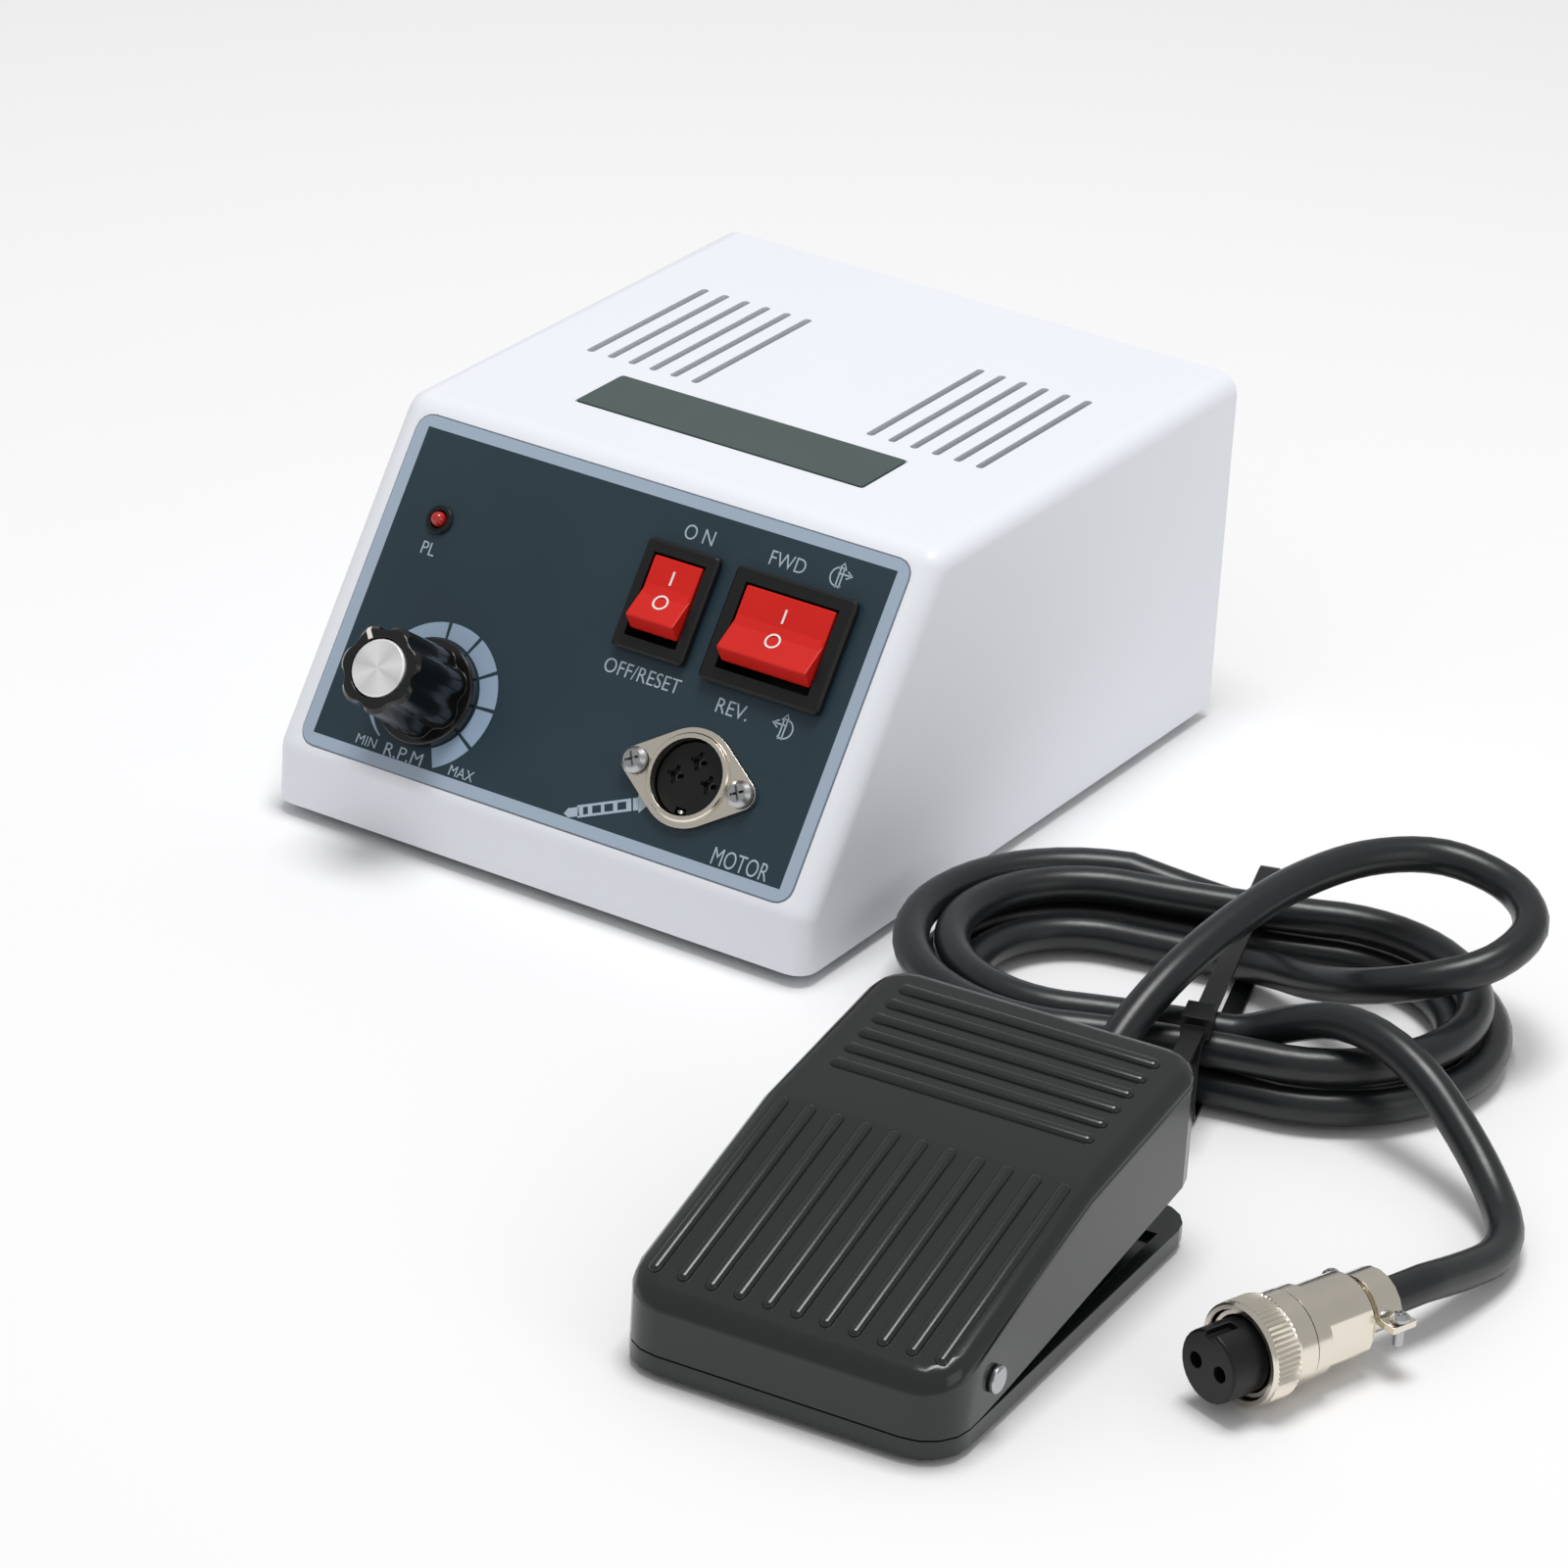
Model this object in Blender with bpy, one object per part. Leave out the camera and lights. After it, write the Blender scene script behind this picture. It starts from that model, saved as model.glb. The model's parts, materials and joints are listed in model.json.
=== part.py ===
"""Micro-motor nail drill set: a sloped control box and the foot pedal on its cord.

Everything is in metres, +Z up, and stands on the floor at z = 0.
The case looks along -Y: its sloped control face carries the knob, switches and motor socket.
"""

import math

import bmesh
import bpy
from mathutils import Matrix, Vector

MM = 0.001

# Clearances that the whole set shares
GAP = 0.3 * MM
OVERRUN = 1.0 * MM

# Facets of round forms, from small to large
ROUND_STEPS = 4
PIN_SIDES = 12
BOSS_SIDES = 16
FOOT_SIDES = 20
ROUND_SIDES = 24
PLUG_SIDES = 28
BORE_SIDES = 32
SOCKET_SIDES = 40

# Case: a sloped top shell over a flat base
CASE_WIDTH = 116 * MM
CASE_DEPTH = 145 * MM
CASE_HEIGHT = 68.5 * MM
LIP_HEIGHT = 11.5 * MM
SLOPE_RUN = 39 * MM
CASE_WALL = 2.5 * MM
SIDE_EDGE_RADIUS = 4.0 * MM
LIP_EDGE_RADIUS = 4.4 * MM
TOP_EDGE_RADIUS = 5.5 * MM
BASE_THICKNESS = 2.5 * MM
REAR_PANEL_THICKNESS = 2.0 * MM
REAR_PANEL_INSET = 0.5 * MM
SLOPE_ANGLE = math.atan2(CASE_HEIGHT - LIP_HEIGHT, SLOPE_RUN)

# Rubber feet under the case
FOOT_HEIGHT = 2.5 * MM
FOOT_RADIUS = 6.0 * MM
FOOT_TREAD_RADIUS = 5.4 * MM
FOOT_DIMPLE_RADIUS = 2.5 * MM
FOOT_DIMPLE_DEPTH = 1.1 * MM
FOOT_FROM_SIDE = 15 * MM
FOOT_FROM_FRONT = 14 * MM
FOOT_FROM_BACK = 12 * MM

# Screws that hold the base to the shell's bosses
BOSS_RADIUS = 4.0 * MM
BOSS_TOP = 30 * MM
BOSS_FROM_FRONT = 26 * MM
BOSS_FROM_BACK = 17 * MM
CASE_SCREW_RADIUS = 1.5 * MM
CASE_SCREW_HEAD_RADIUS = 3.0 * MM
CASE_SCREW_HEAD_HEIGHT = 1.6 * MM
CASE_SCREW_LENGTH = 12 * MM

# Cooling slots in the top
VENT_COUNT = 6
VENT_PITCH = 4.67 * MM
VENT_WIDTH = 1.6 * MM
VENT_INNER_X = 19.2 * MM
VENT_FRONT = 75.8 * MM
VENT_LENGTH = 40.2 * MM

# Nameplate, bare, in a shallow recess of the top
NAMEPLATE_WIDTH = 62 * MM
NAMEPLATE_LENGTH = 15.3 * MM
NAMEPLATE_CENTRE_Y = 62.3 * MM
PLATE_THICKNESS = 0.5 * MM
PLATE_RECESS = 0.6 * MM
PLATE_CORNER = 0.6 * MM

# Front label on the slope; s is the distance up the slope from the lip
LABEL_WIDTH = 106 * MM
LABEL_START_S = 1.6 * MM
LABEL_LENGTH = 64.4 * MM
LABEL_CORNER = 3.0 * MM
LABEL_TOP = PLATE_THICKNESS + GAP - PLATE_RECESS
SEAT = LABEL_TOP + GAP

# Speed knob and its potentiometer
KNOB_X = -30.3 * MM
KNOB_S = 17.1 * MM
KNOB_SKIRT_RADIUS = 10 * MM
KNOB_SKIRT_HEIGHT = 2.0 * MM
KNOB_LOBE_RADIUS = 8.8 * MM
KNOB_FLUTE_DEPTH = 1.2 * MM
KNOB_TOP_TAPER = 0.5 * MM
KNOB_HEIGHT = 14.4 * MM
KNOB_LOBES = 7
KNOB_POINTS_PER_LOBE = 8
KNOB_CHAMFER = 0.8 * MM
KNOB_CAP_RADIUS = 5.4 * MM
KNOB_CAP_DEPTH = 0.9 * MM
KNOB_CAP_PROUD = 0.4 * MM
KNOB_CAP_CHAMFER = 0.3 * MM
POT_SHAFT_RADIUS = 3.0 * MM
POT_SHAFT_IN_KNOB = 12.0 * MM
POT_BUSH_RADIUS = 4.0 * MM
POT_BUSH_TOP = 3.3 * MM
POT_BODY_RADIUS = 8.2 * MM
POT_BODY_DEPTH = 8.0 * MM
POT_SHAFT_SEAT = 3.5 * MM
POT_NUT_FLATS = 11 * MM
POT_NUT_HEIGHT = 2.2 * MM
KNOB_HOLLOW_RADIUS = POT_NUT_FLATS / math.sqrt(3) + 1.5 * GAP

# Pilot lamp
LAMP_X = -41.2 * MM
LAMP_S = 47.9 * MM
LAMP_RADIUS = 1.45 * MM
LAMP_PROUD = 2.4 * MM
LAMP_LENGTH = 9.9 * MM
LAMP_SLEEVE_WALL = 0.35 * MM
LAMP_FLANGE_RADIUS = 2.7 * MM
LAMP_FLANGE_HEIGHT = 0.5 * MM
LAMP_SLEEVE_DEPTH = 6.0 * MM

# Rocker switches: (bezel and window sizes are across x and along s)
POWER_X = 9.85 * MM
POWER_S = 46.1 * MM
POWER_BEZEL = (15.3 * MM, 20.8 * MM)
POWER_WINDOW = (11.0 * MM, 15.8 * MM)
DIRECTION_X = 33.85 * MM
DIRECTION_S = 45.65 * MM
DIRECTION_BEZEL = (25.3 * MM, 21.5 * MM)
DIRECTION_WINDOW = (19.6 * MM, 16.2 * MM)
BEZEL_HEIGHT = 2.0 * MM
BEZEL_CORNER = 1.0 * MM
BEZEL_CHAMFER = 0.5 * MM
SWITCH_BODY_MARGIN = 1.3 * MM
SWITCH_BODY_DEPTH = 15 * MM
SWITCH_POCKET_DEPTH = 7.5 * MM
BLADE_WIDTH = 4.8 * MM
BLADE_THICKNESS = 0.8 * MM
BLADE_LENGTH = 7 * MM
ROCKER_TILT = math.radians(13)
ROCKER_FACE = 4.65 * MM
ROCKER_PIVOT_DEPTH = 4.5 * MM
ROCKER_CLEARANCE = 0.4 * MM
ROCKER_END_DEPTH = 3.9 * MM
ROCKER_KEEL = 2.0 * MM
ROCKER_KEEL_SHARE = 0.55
ROCKER_EDGE = 0.4 * MM

# Handpiece socket: a nickel flange on two screws round a black insert
SOCKET_X = 26.4 * MM
SOCKET_S = 17.4 * MM
SOCKET_SCREW_PITCH = 22.3 * MM
SOCKET_FLANGE_RADIUS = 9.2 * MM
SOCKET_LUG_RADIUS = 2.8 * MM
SOCKET_FLANGE_THICKNESS = 1.0 * MM
SOCKET_RING_RADIUS = 8.2 * MM
SOCKET_RING_HEIGHT = 0.8 * MM
SOCKET_EDGE = 0.3 * MM
SOCKET_BORE_RADIUS = 7.15 * MM
SOCKET_CAN_WALL = 1.25 * MM
SOCKET_CAN_DEPTH = 12 * MM
SOCKET_RECESS = 2.5 * MM
SOCKET_CONTACT_RADIUS = 1.1 * MM
SOCKET_CONTACT_CIRCLE = 3.5 * MM
SOCKET_CONTACT_DEPTH = 3.0 * MM
SOCKET_KEY = (2.2 * MM, 1.8 * MM)
SOCKET_CONTACT_ANGLES = (0, 90, 180)
SOCKET_SCREW_RADIUS = 1.2 * MM
SOCKET_SCREW_HEAD_RADIUS = 2.5 * MM
SOCKET_SCREW_HEAD_HEIGHT = 1.5 * MM
SOCKET_SCREW_LENGTH = 8 * MM

# Mains transformer, standing on the base
CORE_X = -26 * MM
CORE_FROM_BACK = 57 * MM
CORE_WIDTH = 48 * MM
CORE_HEIGHT = 40 * MM
CORE_STACK = 16 * MM
CORE_LEG = 8 * MM
COIL_DEPTH = 31 * MM

# Circuit board with its main parts
BOARD_X = 25 * MM
BOARD_FROM_FRONT = 53 * MM
BOARD_FROM_BACK = 22 * MM
BOARD_LENGTH = CASE_DEPTH - BOARD_FROM_FRONT - BOARD_FROM_BACK
BOARD_Y = BOARD_FROM_FRONT + BOARD_LENGTH / 2
BOARD_WIDTH = 44 * MM
BOARD_THICKNESS = 1.6 * MM
STANDOFF_HEIGHT = 6.2 * MM
STANDOFF_RADIUS = 2.5 * MM
STANDOFF_INSET = 4 * MM
CAPACITOR_RADIUS = 8 * MM
CAPACITOR_HEIGHT = 25 * MM
CAPACITOR_GROOVE = 0.7 * MM
CAPACITOR_PLACE_SHARE = 6 / 35
SINK_WIDTH = 30 * MM
SINK_BASE = 2.5 * MM
SINK_DEPTH = 13 * MM
SINK_HEIGHT = 30 * MM
SINK_FINS = 7
SINK_FIN_THICKNESS = 1.3 * MM
SINK_PLACE_SHARE = 24 / 35
TRANSISTOR_BODY = (10 * MM, 3.2 * MM, 9 * MM)
TRANSISTOR_TAB = (10 * MM, 1.3 * MM, 15.5 * MM)
TRANSISTOR_LEG = (0.8 * MM, 0.6 * MM, 10 * MM)
TRANSISTOR_LEG_PITCH = 2.54 * MM

# Mains inlet, fuse and pedal socket on the rear panel
INLET_X = -30 * MM
INLET_Z = 30 * MM
INLET_FLANGE = (31 * MM, 25 * MM)
INLET_BODY = (27 * MM, 20 * MM)
INLET_MOUTH = (23.6 * MM, 16.4 * MM)
INLET_FLANGE_THICKNESS = 3 * MM
INLET_BODY_DEPTH = 19 * MM
INLET_MOUTH_DEPTH = 17 * MM
INLET_MOUTH_CHAMFER = 4 * MM
INLET_PIN = (2 * MM, 4 * MM)
INLET_PIN_LENGTH = 12 * MM
INLET_PIN_SPACING = 7 * MM
INLET_EARTH_RISE = 2.6 * MM
FUSE_X = 8 * MM
FUSE_Z = 45 * MM
FUSE_BODY_RADIUS = 6 * MM
FUSE_FLANGE_RADIUS = 7.8 * MM
FUSE_FLANGE_THICKNESS = 2 * MM
FUSE_BODY_DEPTH = 26 * MM
FUSE_BORE_RADIUS = 4 * MM
FUSE_BORE_DEPTH = 20 * MM
FUSE_CAP_RADIUS = 5.6 * MM
FUSE_CAP_LENGTH = 7 * MM
FUSE_CAP_SHANK = 10 * MM
FUSE_CAP_SLOT = (1.4 * MM, 1.5 * MM)
FUSE_CAP_FLUTES = 12
FUSE_CAP_FLUTE = 0.35 * MM
PEDAL_SOCKET_X = 36 * MM
PEDAL_SOCKET_Z = 45 * MM
PEDAL_SOCKET_THREAD_RADIUS = 8 * MM
PEDAL_SOCKET_OUTSIDE = 8.5 * MM
PEDAL_SOCKET_INSIDE = 8 * MM
PEDAL_SOCKET_FLANGE_RADIUS = 9.6 * MM
PEDAL_SOCKET_FLANGE_THICKNESS = 1.8 * MM
PEDAL_SOCKET_BORE_DEPTH = 9 * MM
PEDAL_SOCKET_PIN_RADIUS = 1 * MM
PEDAL_SOCKET_PIN_LENGTH = 4.4 * MM
PEDAL_SOCKET_NUT_FLATS = 19 * MM
PEDAL_SOCKET_NUT_HEIGHT = 2.5 * MM

# Foot pedal: base, cover hinged near the toe, switch and spring between them
PEDAL_X = 102 * MM
PEDAL_Y = -126 * MM
PEDAL_YAW = math.radians(4)
PEDAL_WIDTH = 59.8 * MM
PEDAL_LENGTH = 90 * MM
PEDAL_FRONT_CORNER = 8 * MM
PEDAL_REAR_CORNER = 7 * MM
PEDAL_BASE_TOP = 4.5 * MM
PEDAL_BASE_FLOOR = 2.0 * MM
PEDAL_BASE_WALL = 2.5 * MM
PEDAL_LEDGE = 10 * MM
PEDAL_MAT_THICKNESS = 1.0 * MM
PEDAL_MAT_INSET = 2.0 * MM
COVER_WALL = 2.2 * MM
COVER_FRONT_HEIGHT = 15.5 * MM
COVER_BREAK_Y = 47.5 * MM
COVER_BREAK_HEIGHT = 29.0 * MM
COVER_REAR_HEIGHT = 34.3 * MM
COVER_EDGE_RADIUS = 3.0 * MM
COVER_SEAM_FLAT = 14 * MM
COVER_SEAM_REAR = 13.35 * MM
COVER_SIDE_SHARES = (0.24, 0.42, 1.0, 1.25, 1.6)
TOE_RIB_COUNT = 11
TOE_RIB_PITCH = 5.1 * MM
TOE_RIB_START = 4.35 * MM
TOE_RIB_END = 46.7 * MM
TOE_RIB_WIDTH = 2.4 * MM
HEEL_RIB_COUNT = 6
HEEL_RIB_PITCH = 4.73 * MM
HEEL_RIB_LAST_Y = 82.9 * MM
HEEL_RIB_LENGTH = 48 * MM
HEEL_RIB_WIDTH = 2.6 * MM
RIB_HEIGHT = 0.8 * MM
RIB_CORNER_SHARE = 0.35
RIB_TAPER_SHARE = 0.4
HINGE_Y = 15.5 * MM
HINGE_Z = 10.2 * MM
HINGE_PIN_RADIUS = 1.5 * MM
HINGE_HEAD_RADIUS = 2.4 * MM
HINGE_HEAD_THICKNESS = 0.9 * MM
HINGE_LUG_RADIUS = 4.0 * MM
HINGE_LUG_THICKNESS = 3.0 * MM
SPRING_Y = 62 * MM
SPRING_RADIUS = 4.5 * MM
SPRING_WIRE = 0.5 * MM
SPRING_TURNS = 7
SPRING_POINTS_PER_TURN = 9
SPRING_POST_RADIUS = 3 * MM
SPRING_POST_HEIGHT = 5 * MM
MICROSWITCH_Y = 38 * MM
MICROSWITCH_SIZE = (10 * MM, 20 * MM, 14 * MM)
PLUNGER_RADIUS = 1.0 * MM
PLUNGER_HEIGHT = 0.8 * MM
PLUNGER_FROM_PIVOT = 5 * MM
LEVER_LENGTH = 20 * MM
LEVER_WIDTH = 8 * MM
LEVER_THICKNESS = 0.8 * MM
LEVER_PIVOT_RADIUS = 0.8 * MM
LEVER_TIP_RADIUS = 1.2 * MM
LEVER_FROM_FRONT = 1.0 * MM
LEVER_SLACK = 0.4 * MM
GLAND_RADIUS = 4.2 * MM
GLAND_FLANGE_RADIUS = 5.2 * MM
GLAND_FLANGE_THICKNESS = 2.0 * MM
GLAND_LENGTH = 6.2 * MM
SADDLE_HALF_WIDTH = 6.5 * MM
SADDLE_RISE = 1.6 * MM
NOTCH_TOP = 20.5 * MM

# Pedal cord: one lead, a tied hank and a tail with the plug
CORD_RADIUS = 3.25 * MM
CORD_POINT_STEP = 12.5 * MM
SPAN_STEPS = 20
HANK_X = 119 * MM
HANK_Y = 33 * MM
HANK_YAW = math.radians(18)
HANK_HALF_RUN = 20 * MM
HANK_INNER_RADIUS = 19.5 * MM
HANK_STEP = 7.2 * MM
HANK_LAYER_RISE = 6.95 * MM
HANK_WAIST_SHARE = 0.035
HANK_END_SHARE = 2 / 3
HANK_POINTS_PER_TURN = 24
HANK_START_TURN = 11 / 24
HANK_CLIMB_START = 2 + 1 / 3
HANK_CLIMB_END = 2 + 1 / 2
HANK_END_TURN = 3 + 11 / 12
TIE_THICKNESS = 0.9 * MM
TIE_WIDTH = 3.6 * MM
TIE_AT = 5 * MM
TIE_HEAD = (5 * MM, 6 * MM, 4 * MM)
TIE_TAIL_LENGTH = 14 * MM
TIE_CORNER = 3 * MM

# Two-pin pedal plug; t runs from the ring's face back along its axis
PLUG_X = 186.5 * MM
PLUG_Y = -74.5 * MM
PLUG_YAW = math.radians(-18.5)
PLUG_RING_RADIUS = 8.75 * MM
PLUG_RING_LENGTH = 10 * MM
PLUG_RING_BORE = 7.6 * MM
PLUG_RING_TEETH = 30
PLUG_RING_TOOTH = 0.3 * MM
PLUG_INSERT_RADIUS = 6.25 * MM
PLUG_INSERT_PROUD = 6.5 * MM
PLUG_INSERT_DEPTH = 9 * MM
PLUG_HOLE_RADIUS = 1.4 * MM
PLUG_HOLE_SPREAD = 5.6 * MM
PLUG_HOLE_DEPTH = 5 * MM
PLUG_KEY = (2.2 * MM, 1.2 * MM)
PLUG_TUBE_RADIUS = 7.3 * MM
PLUG_BAND_RADIUS = 7.9 * MM
PLUG_BAND_LENGTH = 3.0 * MM
PLUG_BODY_RADIUS = 7.2 * MM
PLUG_BODY_END = 24 * MM
PLUG_FLAT_HALF_WIDTH = 6.4 * MM
PLUG_SLEEVE_RADIUS = 4.6 * MM
PLUG_LENGTH = 30.5 * MM
CLAMP_WIDTH = 5.0 * MM
CLAMP_THICKNESS = 1.2 * MM
CLAMP_EAR = 3.2 * MM
CLAMP_SCREW_RADIUS = 0.9 * MM
CLAMP_SCREW_HEAD_RADIUS = 1.6 * MM
CLAMP_SCREW_HEAD_HEIGHT = 1.1 * MM
CLAMP_SCREW_LENGTH = 5.0 * MM

# Route points, chosen by hand, in the hank's own frame (along its length, across it, height)
LEAD_ROUTE = [
    (-9.6 * MM, -47.0 * MM, 10.0 * MM),
    (-6.5 * MM, -37.5 * MM, 16.4 * MM),
    (-1.0 * MM, -25.0 * MM, 22.4 * MM),
    (6.0 * MM, -10.0 * MM, 26.2 * MM),
    (14.0 * MM, 5.5 * MM, 28.0 * MM),
    (24.5 * MM, 19.0 * MM, 28.4 * MM),
    (37.0 * MM, 25.6 * MM, 27.6 * MM),
    (49.5 * MM, 21.5 * MM, 26.0 * MM),
    (55.0 * MM, 10.5 * MM, 24.4 * MM),
    (50.5 * MM, -1.0 * MM, 22.2 * MM),
    (39.8 * MM, -5.6 * MM, 19.0 * MM),
    (28.5 * MM, -3.0 * MM, 14.6 * MM),
    (19.0 * MM, 4.5 * MM, 10.0 * MM),
    (11.0 * MM, 12.4 * MM, 6.8 * MM),
    (4.0 * MM, 17.0 * MM, 4.9 * MM),
]
TAIL_ROUTE = [
    (13.5 * MM, -21.3 * MM, 12.2 * MM),
    (20.5 * MM, -22.4 * MM, 15.6 * MM),
    (28.5 * MM, -25.3 * MM, 18.8 * MM),
    (37.0 * MM, -30.3 * MM, 19.3 * MM),
    (45.5 * MM, -36.6 * MM, 16.8 * MM),
    (53.5 * MM, -43.8 * MM, 11.6 * MM),
    (60.0 * MM, -51.6 * MM, 6.8 * MM),
    (64.0 * MM, -60.5 * MM, 4.4 * MM),
    (63.9 * MM, -70.0 * MM, 4.5 * MM),
    (60.3 * MM, -80.0 * MM, 6.4 * MM),
]

# Colour, roughness and metallic value of each material
MATERIALS = {
    "case_plastic": ("E4E6E8", 0.45, 0.0),
    "label_film": ("2F4A55", 0.35, 0.0),
    "black_plastic": ("141517", 0.40, 0.0),
    "pedal_plastic": ("16181A", 0.35, 0.0),
    "red_plastic": ("D11E1E", 0.35, 0.0),
    "red_lens": ("B01818", 0.15, 0.0),
    "nickel": ("C9C6BC", 0.28, 1.0),
    "steel": ("A9ABAD", 0.35, 1.0),
    "aluminium": ("D6D8DA", 0.30, 1.0),
    "rubber": ("1B1C1D", 0.80, 0.0),
    "cord_jacket": ("1D1F22", 0.55, 0.0),
    "board": ("2E6B3C", 0.55, 0.0),
    "winding_tape": ("C8A23A", 0.60, 0.0),
    "core_steel": ("5A5C5E", 0.55, 1.0),
}


# Meshes

def arc(centre, radius, start, end, steps=ROUND_STEPS):
    """Points of an arc, angles in radians, both ends included."""
    angles = [start + (end - start) * i / steps for i in range(steps + 1)]
    return [(centre[0] + radius * math.cos(a), centre[1] + radius * math.sin(a)) for a in angles]


def circle(radius, sides=ROUND_SIDES, centre=(0, 0)):
    return arc(centre, radius, 0, 2 * math.pi * (sides - 1) / sides, sides - 1)


def rounded_rectangle(width, length, radius, centre=(0, 0), steps=ROUND_STEPS):
    """Outline of a rectangle with four round corners, anticlockwise."""
    outline = []
    for quarter, (sx, sy) in enumerate(((1, 1), (-1, 1), (-1, -1), (1, -1))):
        corner = (centre[0] + sx * (width / 2 - radius), centre[1] + sy * (length / 2 - radius))
        outline += arc(corner, radius, quarter * math.pi / 2, (quarter + 1) * math.pi / 2, steps)
    return outline


def filleted(points, radii, steps=ROUND_STEPS):
    """Polygon whose corners are rounded to the given radii, zero for a sharp corner."""
    outline = []
    count = len(points)
    for i, radius in enumerate(radii):
        corner = Vector(points[i])
        if not radius:
            outline.append(tuple(corner))
            continue
        before = (Vector(points[i - 1]) - corner).normalized()
        after = (Vector(points[(i + 1) % count]) - corner).normalized()
        half = before.angle(after) / 2
        centre = corner + (before + after).normalized() * radius / math.sin(half)
        first = corner + before * radius / math.tan(half) - centre
        last = corner + after * radius / math.tan(half) - centre
        start = math.atan2(first.y, first.x)
        sweep = (math.atan2(last.y, last.x) - start + math.pi) % (2 * math.pi) - math.pi
        outline += arc(centre, radius, start, start + sweep, steps)
    return outline


def loft(rings, closed=False):
    """Skin through rings of equal length; the end rings are capped unless it closes on itself."""
    mesh = bmesh.new()
    loops = [[mesh.verts.new(point) for point in ring] for ring in rings]
    pairs = list(zip(loops, loops[1:]))
    if closed:
        pairs.append((loops[-1], loops[0]))
    else:
        mesh.faces.new(loops[0])
        mesh.faces.new(loops[-1])
    for lower, upper in pairs:
        for i in range(len(lower)):
            j = (i + 1) % len(lower)
            mesh.faces.new((lower[i], lower[j], upper[j], upper[i]))
    bmesh.ops.recalc_face_normals(mesh, faces=mesh.faces)
    return mesh


def extruded(outline, start, end, axis="Z"):
    """Outline swept along an axis; its points are (y, z), (x, z) or (x, y)."""
    place = {
        "X": lambda u, v, w: Vector((w, u, v)),
        "Y": lambda u, v, w: Vector((u, w, v)),
        "Z": lambda u, v, w: Vector((u, v, w)),
    }[axis]
    return loft([[place(u, v, w) for u, v in outline] for w in (start, end)])


def turned(profile, sides=ROUND_SIDES, closed=False):
    """Solid of revolution about Z from (radius, height) points."""
    rings = []
    for radius, height in profile:
        rings.append([Vector((u, v, height)) for u, v in circle(radius, sides)])
    return loft(rings, closed)


def rod(radius, start, end, sides=PIN_SIDES):
    """Upright round rod, also used to cut a hole."""
    return turned([(radius, start), (radius, end)], sides)


def block(size, centre):
    """Box of the given size about its centre."""
    half = Vector(size) / 2
    outline = [(-half.x, -half.y), (half.x, -half.y), (half.x, half.y), (-half.x, half.y)]
    mesh = extruded(outline, -half.z, half.z)
    bmesh.ops.translate(mesh, vec=centre, verts=mesh.verts)
    return mesh


def moved(mesh, matrix):
    bmesh.ops.transform(mesh, matrix=matrix, verts=mesh.verts)
    return mesh


def shifted(mesh, x=0.0, y=0.0, z=0.0):
    return moved(mesh, Matrix.Translation((x, y, z)))


def joined(meshes):
    """Several separate solids as one operand."""
    whole = bmesh.new()
    for mesh in meshes:
        data = bpy.data.meshes.new("operand")
        mesh.to_mesh(data)
        whole.from_mesh(data)
        bpy.data.meshes.remove(data)
    return whole


def bevelled(mesh, width, chosen=None, segments=2, angle=math.radians(30)):
    """Rounds the chosen edges, or every edge sharper than the angle."""
    if chosen is None:
        chosen = [e for e in mesh.edges if e.is_manifold and e.calc_face_angle() > angle]
    bmesh.ops.bevel(
        mesh, geom=chosen, offset=width, segments=segments, profile=0.5, affect="EDGES",
        clamp_overlap=True,
    )
    return mesh


def rotation_x(angle):
    return Matrix.Rotation(angle, 4, "X")


# Objects

def material(name):
    existing = bpy.data.materials.get(name)
    if existing:
        return existing
    code, roughness, metallic = MATERIALS[name]
    channels = [int(code[i:i + 2], 16) / 255 for i in (0, 2, 4)]
    linear = [c / 12.92 if c <= 0.04045 else ((c + 0.055) / 1.055) ** 2.4 for c in channels]
    made = bpy.data.materials.new(name)
    made.use_nodes = True
    shader = made.node_tree.nodes["Principled BSDF"]
    shader.inputs["Base Color"].default_value = (*linear, 1.0)
    shader.inputs["Roughness"].default_value = roughness
    shader.inputs["Metallic"].default_value = metallic
    made.diffuse_color = (*linear, 1.0)
    return made


def empty(name, parent=None, location=(0, 0, 0), rotation=(0, 0, 0)):
    holder = bpy.data.objects.new(name, None)
    bpy.context.collection.objects.link(holder)
    holder.parent = parent
    holder.location = location
    holder.rotation_euler = rotation
    return holder


def mesh_object(name, mesh):
    data = bpy.data.meshes.new(name)
    bmesh.ops.recalc_face_normals(mesh, faces=mesh.faces)
    mesh.to_mesh(data)
    mesh.free()
    made = bpy.data.objects.new(name, data)
    bpy.context.collection.objects.link(made)
    return made


def boolean(made, operation, operand):
    """Fuses a mesh to a piece or cuts it away, by a modifier with a hidden guide."""
    guide = mesh_object(f"{made.name}_guide_{len(made.modifiers)}", operand)
    guide.parent = made
    guide.hide_render = True
    guide.display_type = "WIRE"
    step = made.modifiers.new(operation.lower(), "BOOLEAN")
    step.operation = operation
    step.solver = "EXACT"
    step.object = guide


def piece(name, mesh, look, parent, at=(0, 0, 0), turn=(0, 0, 0), add=(), cut=()):
    """One sub-part: a mesh with others fused to it and cut from it."""
    made = mesh_object(name, mesh)
    made.data.materials.append(material(look))
    made.data.shade_smooth()
    made.data.set_sharp_from_angle(angle=math.radians(35))
    made.parent = parent
    made.location = at
    made.rotation_euler = turn
    for operand in add:
        boolean(made, "UNION", operand)
    for operand in cut:
        boolean(made, "DIFFERENCE", operand)
    return made


# Case

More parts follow.
